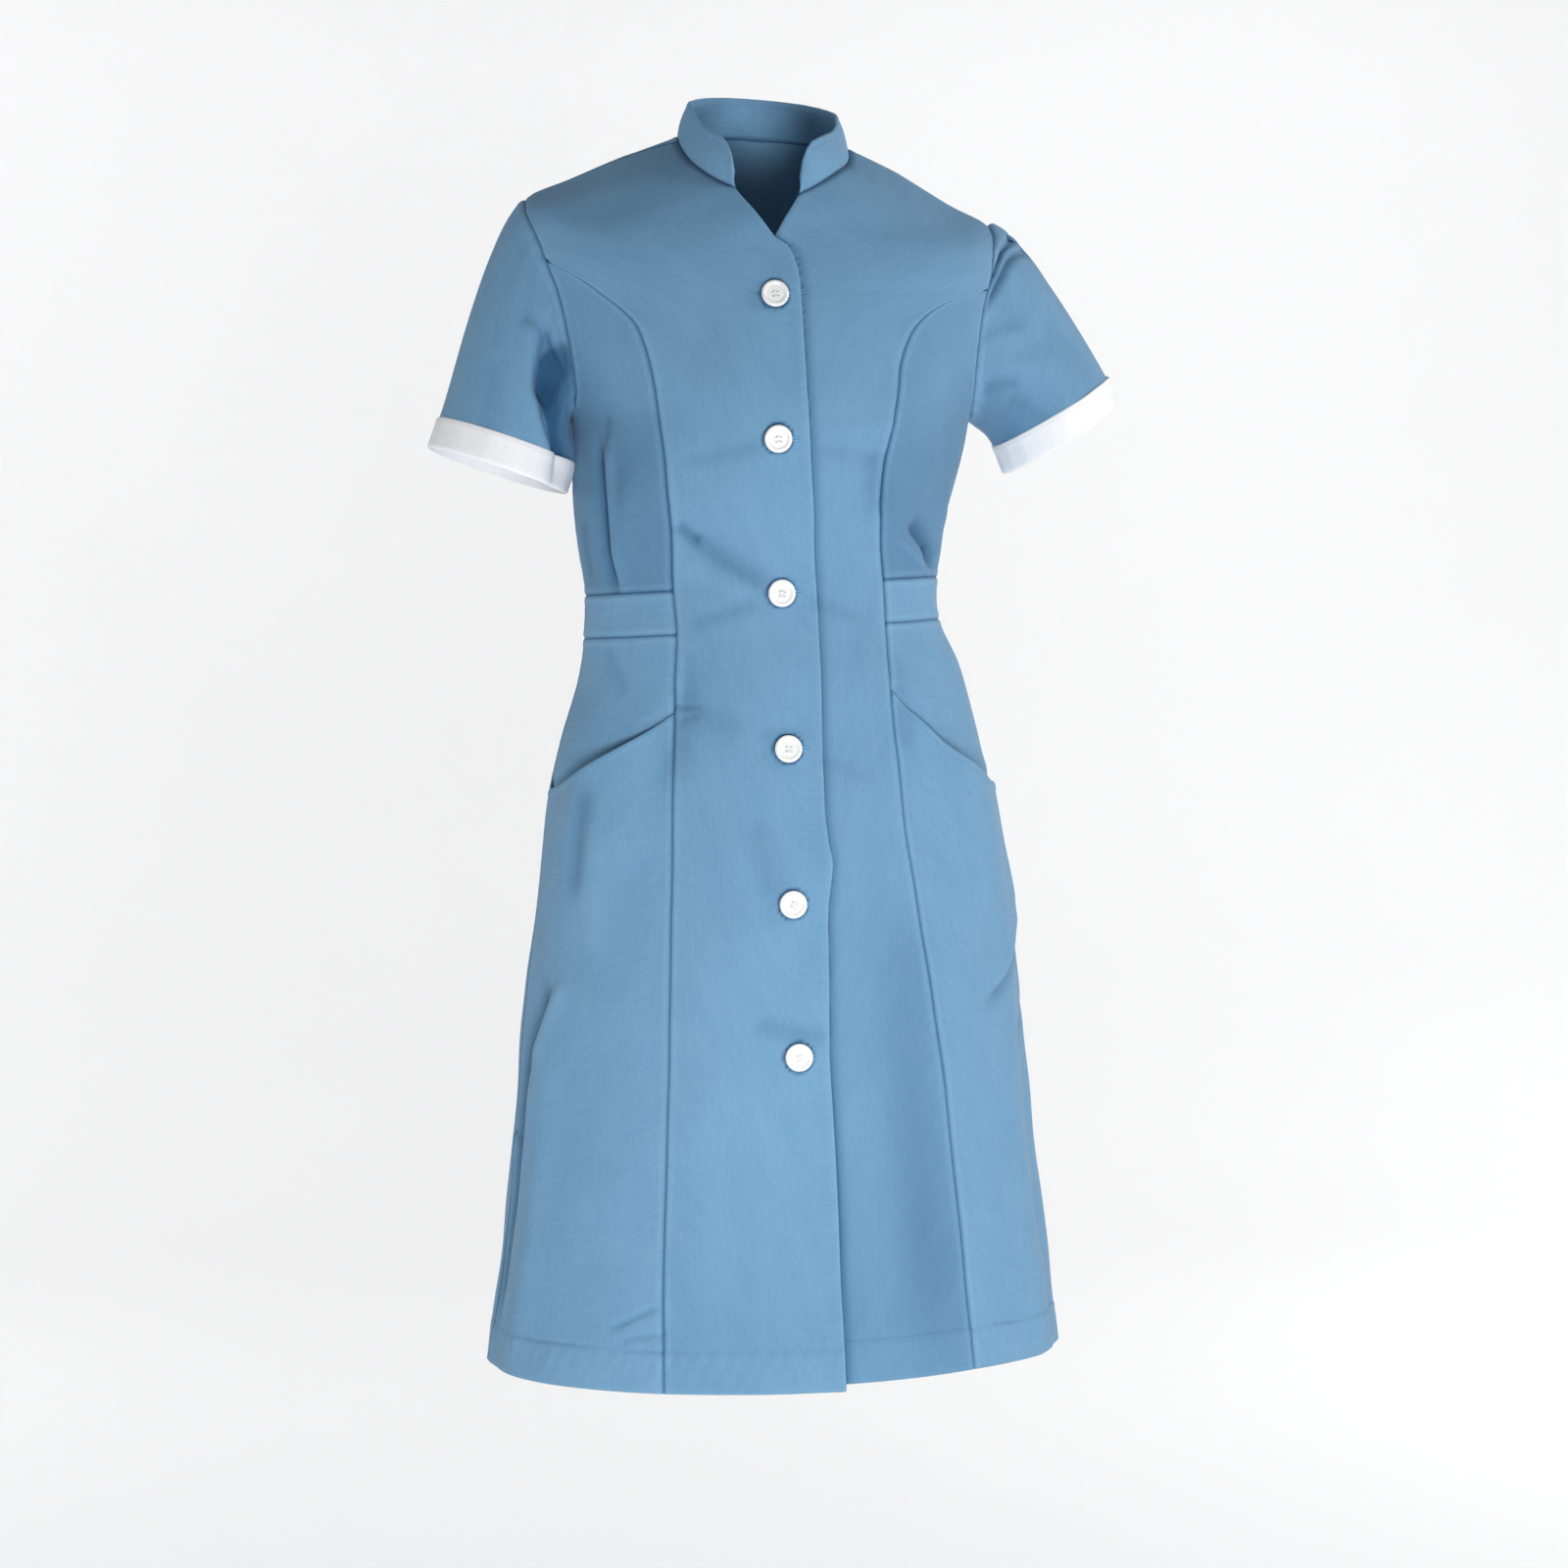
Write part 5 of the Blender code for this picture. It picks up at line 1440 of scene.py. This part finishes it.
def addCollar():
    # the stand rises from the neck seam by a height and an inward lean that both depend on the distance
    # along the seam from the nearer front end
    neck = np.array([form["neckLevel"]])
    start = float(openingAngle(neck, "upperX")[0])
    end = float(openingAngle(neck, "lowerX")[0]) - 2 * math.pi
    dense = np.linspace(start, end, 600)
    run = travelled(barePoint(np.full(dense.shape, form["neckLevel"]), dense)[None], 1)[0]
    near, even = np.array(collarForm["endSteps"]), collarForm["evenFrom"]
    middle = np.linspace(even, run[-1] - even, collarForm["around"])
    wanted = np.concatenate([near, middle, run[-1] - near[::-1]])
    angle = np.interp(wanted, run, dense)
    base = barePoint(np.full(angle.shape, form["neckLevel"]), angle)
    ahead = unitRows(np.gradient(base, axis=0))
    distance = np.minimum(wanted, run[-1] - wanted)
    height, lean = (np.interp(distance, tableColumn(collarForm, "distance"), tableColumn(collarForm, name))
                    for name in ("height", "leanIn"))
    inward = unitRows((np.array(collarForm["middle"]) - base) * np.array([1.0, 1.0, 0.0]))
    rise = unitRows(np.array([0.0, 0.0, 1.0]) + inward * lean[:, None])
    bow = unitRows(np.cross(ahead, rise))
    bow = bow * -np.sign(np.sum(bow * inward, axis=1))[:, None]
    steps = spreadShares(collarForm["upLength"], collarForm["up"])[:, None]
    arch = np.sin(math.pi * steps)[..., None]
    points = base + rise * collarForm["gap"] + (rise * height[:, None]) * steps[..., None]
    points = points + bow * (collarForm["bow"] * arch)
    up = steps * height
    fromTop = height - up
    inside = np.minimum(fromTop, distance)
    fromStitch = inside - collarForm["stitchIn"]
    lift = mark(collarForm, "edgeRise", inside - collarForm["edgeRise"][1]) - mark(collarForm, "seamDip", up)
    lift = lift - mark(collarForm, "stitchDip", fromStitch)
    lift = lift + np.sin(wanted * 420.0 + 1.5 * np.sin(wanted * 90.0)) * mark(collarForm, "ripple", inside)
    lift = lift + collarForm["wave"] * np.sin(wanted * 70.0 + 0.6) * np.sin(math.pi * steps)
    points = points + bow * lift[..., None]
    # paler along the top edge and ends; painted shade at the neck seam and in the stitching's groove
    paintedShadeAndWear = mark(collarForm, "edgePale", inside) - mark(collarForm, "seamDark", up)
    paintedShadeAndWear = paintedShadeAndWear - mark(collarForm, "stitchDark", fromStitch)
    addShell("collarStand", "collar", points, np.broadcast_to(bow, points.shape), collarForm["wall"], paintedShadeAndWear)
    row = np.abs(fromTop - collarForm["stitchIn"]).argmin(axis=0)
    path = points[row, np.arange(len(row))] + bow * (collarForm["wall"] / 2)
    kept = distance > collarForm["stitchIn"]
    stitchRows.append(("collarStitches", path[kept], bow[kept], False, "blueThread", "blue_cloth"))


addCollar()
print("collar made")


# stitching

stitching = {
    "pitch": 0.0031,
    "length": 0.0023,
    "radius": 0.00021,
    "sides": 6,
    "places": (-0.86, 0.0, 0.86),       # the three rings of a stitch, by shares of its half length
    "thicks": (0.70, 1.0, 0.70),
    "arch": 0.00022,
    "rise": 0.00006,
    "tipDip": 0.00032,
}


def alongPath(at, run, values):
    return np.stack([np.interp(at, run, values[:, k]) for k in range(3)], axis=-1)


def addStitches(name, path, normals, closed, finish, slot):
    # one short thread capsule is laid at even steps along the path, its ends dipping into the cloth
    if closed:
        path, normals = np.concatenate([path, path[:1]]), np.concatenate([normals, normals[:1]])
    run = travelled(path[None], 1)[0]
    count = max(int(run[-1] / stitching["pitch"]), 2)
    at = (np.arange(count) + 0.5) * run[-1] / count
    half, sides = stitching["length"] / 2, stitching["sides"]
    ahead = unitRows(alongPath(at + half, run, path) - alongPath(at - half, run, path))
    across = unitRows(np.cross(unitRows(alongPath(at, run, normals)), ahead))
    up = np.cross(ahead, across)
    turn = 2 * math.pi * np.arange(sides) / sides
    place = np.array(stitching["places"])[:, None]
    thick = np.array(stitching["thicks"])[:, None] * stitching["radius"]
    local = np.stack([
        place * half + 0.0 * turn,
        thick * np.cos(turn),
        thick * np.sin(turn) - stitching["arch"] * place ** 2 + stitching["rise"],
    ], axis=-1).reshape(-1, 3)
    tips = np.array([[-half, 0.0, -stitching["tipDip"]], [half, 0.0, -stitching["tipDip"]]])
    local = np.concatenate([local, tips])
    vertices = alongPath(at, run, path)[:, None] + sum(
        axis[:, None] * local[None, :, k:k + 1] for k, axis in enumerate((ahead, across, up)))
    i = np.arange(sides)
    j = (i + 1) % sides
    first, last = 3 * sides + 0 * i, 3 * sides + 1 + 0 * i
    quads = np.concatenate([np.stack([i, i + sides, j + sides, j], axis=-1),
                            np.stack([i + sides, i + 2 * sides, j + 2 * sides, j + sides], axis=-1)])
    triangles = np.concatenate([np.stack([first, i, j], axis=-1),
                                np.stack([last, j + 2 * sides, i + 2 * sides], axis=-1)])
    shift = (np.arange(count) * len(local))[:, None, None]
    faces = (quads[None] + shift).reshape(-1, 4).tolist() + (triangles[None] + shift).reshape(-1, 3).tolist()
    return addPiece(name, vertices.reshape(-1, 3), faces, finish)


def rowPath(panel, edge, distance, ends):
    # points on a laid panel's outer face at one distance from its top or bottom edge
    away = np.broadcast_to(panel["edges"][edge][0], panel["points"].shape[:2])
    outer = panel["points"] + panel["normals"] * (panel["thickness"] / 2)[..., None]
    normals = panel["normals"]
    if edge == "bottom":
        away, outer, normals = away[::-1], outer[::-1], normals[::-1]
    which = np.arange(away.shape[1])
    above = np.clip((away < distance).sum(axis=0), 1, away.shape[0] - 1)
    low, high = away[above - 1, which], away[above, which]
    t = np.clip((distance - low) / np.maximum(high - low, 1e-9), 0.0, 1.0)[:, None]
    path = outer[above - 1, which] * (1 - t) + outer[above, which] * t
    run = travelled(path[None], 1)[0]
    keep = (run >= ends[0]) & (run <= run[-1] - ends[1])
    return path[keep], normals[above, which][keep]


hemEnds, mouthEnds = (0.001, 0.001), (0.004, 0.004)
for name in ("FrontRight", "FrontLeft", "SideSkirtRight", "SideSkirtLeft", "BackSkirt"):
    path, normals = rowPath(hemmed[name], "bottom", fronts["hem"], hemEnds)
    stitchRows.append(("hemStitches" + name, path, normals, False, "blueThread", "blue_cloth"))
for name in ("Right", "Left"):
    path, normals = rowPath(hemmed["SideSkirt" + name], "top", sideSkirts["stitchAt"], mouthEnds)
    stitchRows.append(("mouthStitches" + name, path, normals, False, "blueThread", "blue_cloth"))
for row in stitchRows:
    addStitches(*row)
print("stitching made,", len(stitchRows), "rows")


# buttons and buttonholes

buttonThread = {
    "lanes": (-0.00018, 0.00018),       # two strands a pair of holes
    "radius": 0.00016,
    "lift": 0.00014,
    "arch": 0.00020,
    "dive": 0.0011,
    "shankRadius": 0.0017,
    "shankThread": 0.00022,
    "shankTurns": 4,
}

buttonholes = {"back": 0.0085, "front": 0.0152, "half": 0.00115, "bead": 0.00078, "pitch": 0.00055,
               "lift": 0.0001, "sides": 8}


def upperFace(level, angle):
    # points on the upper front's outer face, and the bare form's normals there
    bare, normal = barePoint(level, angle), bareNormal(level, angle)
    lift = clothLift(level, angle) + lapLift(level, bare[:, 0], bare[:, 2], 1) + form["wall"] / 2
    return bare + normal * lift[:, None], normal


def buttonHeight(r, turn):
    # face height by radius: flat dish, raised rim, round shoulder; four holes are cut as soft pits
    radius, half, dish, edge = buttons["radius"], buttons["thick"] / 2, buttons["dish"], buttons["shoulder"]
    share = r / radius
    shoulder = np.sqrt(np.clip(1 - ((share - edge) / (1 - edge)) ** 2, 0.0, 1.0))
    inner = dish + (1 - dish) * softStep(share, *buttons["rim"])
    face = half * np.where(share > edge, 0.15 + 0.85 * shoulder, inner)
    # the four holes are alike, so the distance to the nearest one is taken in one quarter
    x, y = np.abs(r * np.cos(turn)), np.abs(r * np.sin(turn))
    away = np.hypot(x - buttons["holeOff"], y - buttons["holeOff"])
    pit = 1 - softStep(away, buttons["holeRadius"] * 0.80, buttons["holeRadius"] * 1.12)
    return face - pit * buttons["holeDepth"]


def addButton(number, x, height, turned):
    # turned rings: the face, then the edge and the under side down to the middle
    level = np.array([height])
    places, normals = upperFace(level, angleWhereX(level, lambda z: np.full(z.shape, x)))
    normal, half, sides = normals[0], buttons["thick"] / 2, buttons["sides"]
    seat = places[0] + normal * (buttons["standOff"] + half)
    sideways = unitRows(np.cross(np.array([0.0, 0.0, 1.0]), normal))
    spin = math.radians(turned)
    across = sideways * math.cos(spin) + np.cross(normal, sideways) * math.sin(spin)
    up = np.cross(normal, across)
    turn = 2 * math.pi * np.arange(sides)[None, :] / sides
    r = np.concatenate([np.linspace(*buttons["inner"], buttons["innerRings"]),
                        np.linspace(buttons["outer"], buttons["radius"], buttons["outerRings"])])[:, None]
    under = np.array(buttons["under"])
    radii = np.concatenate([r, under[:, 0:1] * buttons["radius"]]) + 0.0 * turn
    heights = np.concatenate([buttonHeight(r, turn), under[:, 1:2] * half + 0.0 * turn])
    vertices = (seat + across * (radii * np.cos(turn))[..., None] + up * (radii * np.sin(turn))[..., None]
                + normal * heights[..., None])
    rows = len(vertices)
    index = np.arange(rows * sides).reshape(rows, sides)
    ahead = np.roll(index, -1, axis=1)
    quads = np.stack([index[:-1], index[1:], ahead[1:], ahead[:-1]], axis=-1).reshape(-1, 4).tolist()
    ends = np.stack([seat + normal * half * buttons["dish"], seat - normal * half])
    fans = fan(rows * sides, index[0], ahead[0]) + fan(rows * sides + 1, ahead[-1], index[-1])
    addPiece("button%d" % number, np.concatenate([vertices.reshape(-1, 3), ends]), quads + fans,
             "buttonResin", "button_%d" % number)
    return seat, normal, across, up


def fan(centre, first, second):
    return [(centre, int(a), int(b)) for a, b in zip(first, second)]


def tube(path, radius, sides, closed=False):
    # a round section carried along a path, closed at both ends with a point
    if closed:
        ahead = unitRows(np.roll(path, -1, axis=0) - np.roll(path, 1, axis=0))
    else:
        ahead = unitRows(np.gradient(path, axis=0))
    guide = np.where(np.abs(ahead[:, 2:3]) > 0.9, np.array([[1.0, 0.0, 0.0]]), np.array([[0.0, 0.0, 1.0]]))
    side = unitRows(np.cross(guide, ahead))
    up = np.cross(ahead, side)
    turn = (2 * math.pi * np.arange(sides) / sides)[None, :, None]
    section = side[:, None] * np.cos(turn) + up[:, None] * np.sin(turn)
    vertices = (path[:, None] + np.broadcast_to(radius, len(path))[:, None, None] * section).reshape(-1, 3)
    low = np.arange(len(vertices)).reshape(len(path), sides)
    lowAhead = np.roll(low, -1, axis=1)
    corners = np.stack([low, lowAhead, np.roll(lowAhead, -1, axis=0), np.roll(low, -1, axis=0)], axis=-1)
    if closed:
        return vertices, corners.reshape(-1, 4).tolist()
    caps = fan(len(vertices), lowAhead[0], low[0]) + fan(len(vertices) + 1, low[-1], lowAhead[-1])
    return np.concatenate([vertices, path[:1], path[-1:]]), corners[:-1].reshape(-1, 4).tolist() + caps


def joined(parts):
    vertices, faces, start = [], [], 0
    for points, polygons in parts:
        vertices.append(points)
        faces += [tuple(int(k) + start for k in polygon) for polygon in polygons]
        start += len(points)
    return np.concatenate(vertices), faces


def addButtonThread(number, seat, normal, across, up):
    # strands over the face between each pair of holes, and a short wound shank under the button
    def placed(x, y, z):
        return seat + across * np.asarray(x)[:, None] + up * np.asarray(y)[:, None] + normal * z[:, None]

    strands = []
    off, half = buttons["holeOff"], buttons["thick"] / 2
    s = np.linspace(-1.0, 1.0, 15)
    height = half * buttons["dish"] + buttonThread["lift"] + buttonThread["arch"] * (1 - s ** 2)
    height = height - buttonThread["dive"] * softStep(np.abs(s), 0.84, 1.0)
    for signY in (-1, 1):
        for lane in buttonThread["lanes"]:
            path = placed(s * off, signY * off + lane * (1 - 0.3 * s ** 2), height)
            strands.append(tube(path, buttonThread["radius"], 7))
    turns = np.linspace(0.0, 2 * math.pi * buttonThread["shankTurns"], 80)
    rise = np.linspace(-half - buttons["standOff"] - 0.0002, -half + 0.0001, 80)
    radius = buttonThread["shankRadius"]
    path = placed(radius * np.cos(turns), radius * np.sin(turns), rise)
    strands.append(tube(path, buttonThread["shankThread"], 6))
    vertices, faces = joined(strands)
    addPiece("buttonThread%d" % number, vertices, faces, "whiteThread")


def addButtonhole(number, x, height):
    # a bead of close satin stitches round a slit: a stadium path whose radius swells at each stitch
    straight, half = buttonholes["back"] + buttonholes["front"], buttonholes["half"]
    arc = math.pi * half
    length = 2 * straight + 2 * arc
    s = np.linspace(0.0, length, int(length / buttonholes["pitch"]) * 4, endpoint=False)
    parts = [s < straight, s < straight + arc, s < 2 * straight + arc]
    turnA, turnB = (s - straight) / half, (s - 2 * straight - arc) / half
    along = np.select(parts, [s, straight + half * np.sin(turnA), 2 * straight + arc - s],
                      -half * np.sin(turnB))
    aside = np.select(parts, [-half + 0.0 * s, -half * np.cos(turnA), half + 0.0 * s], half * np.cos(turnB))
    level = height + aside
    places, normals = upperFace(level, angleWhereX(level, lambda z: x - buttonholes["back"] + along))
    swell = buttonholes["bead"] * (0.80 + 0.20 * np.abs(np.sin(math.pi * s / buttonholes["pitch"])))
    vertices, faces = tube(places + normals * buttonholes["lift"], swell, buttonholes["sides"], closed=True)
    addPiece("buttonhole%d" % number, vertices, faces, "blueThread")


for number, (x, height, turned) in enumerate(buttons["rows"], start=1):
    placed = addButton(number, x, height, turned)
    addButtonThread(number, *placed)
    addButtonhole(number, x, height)
print("buttons and buttonholes made")
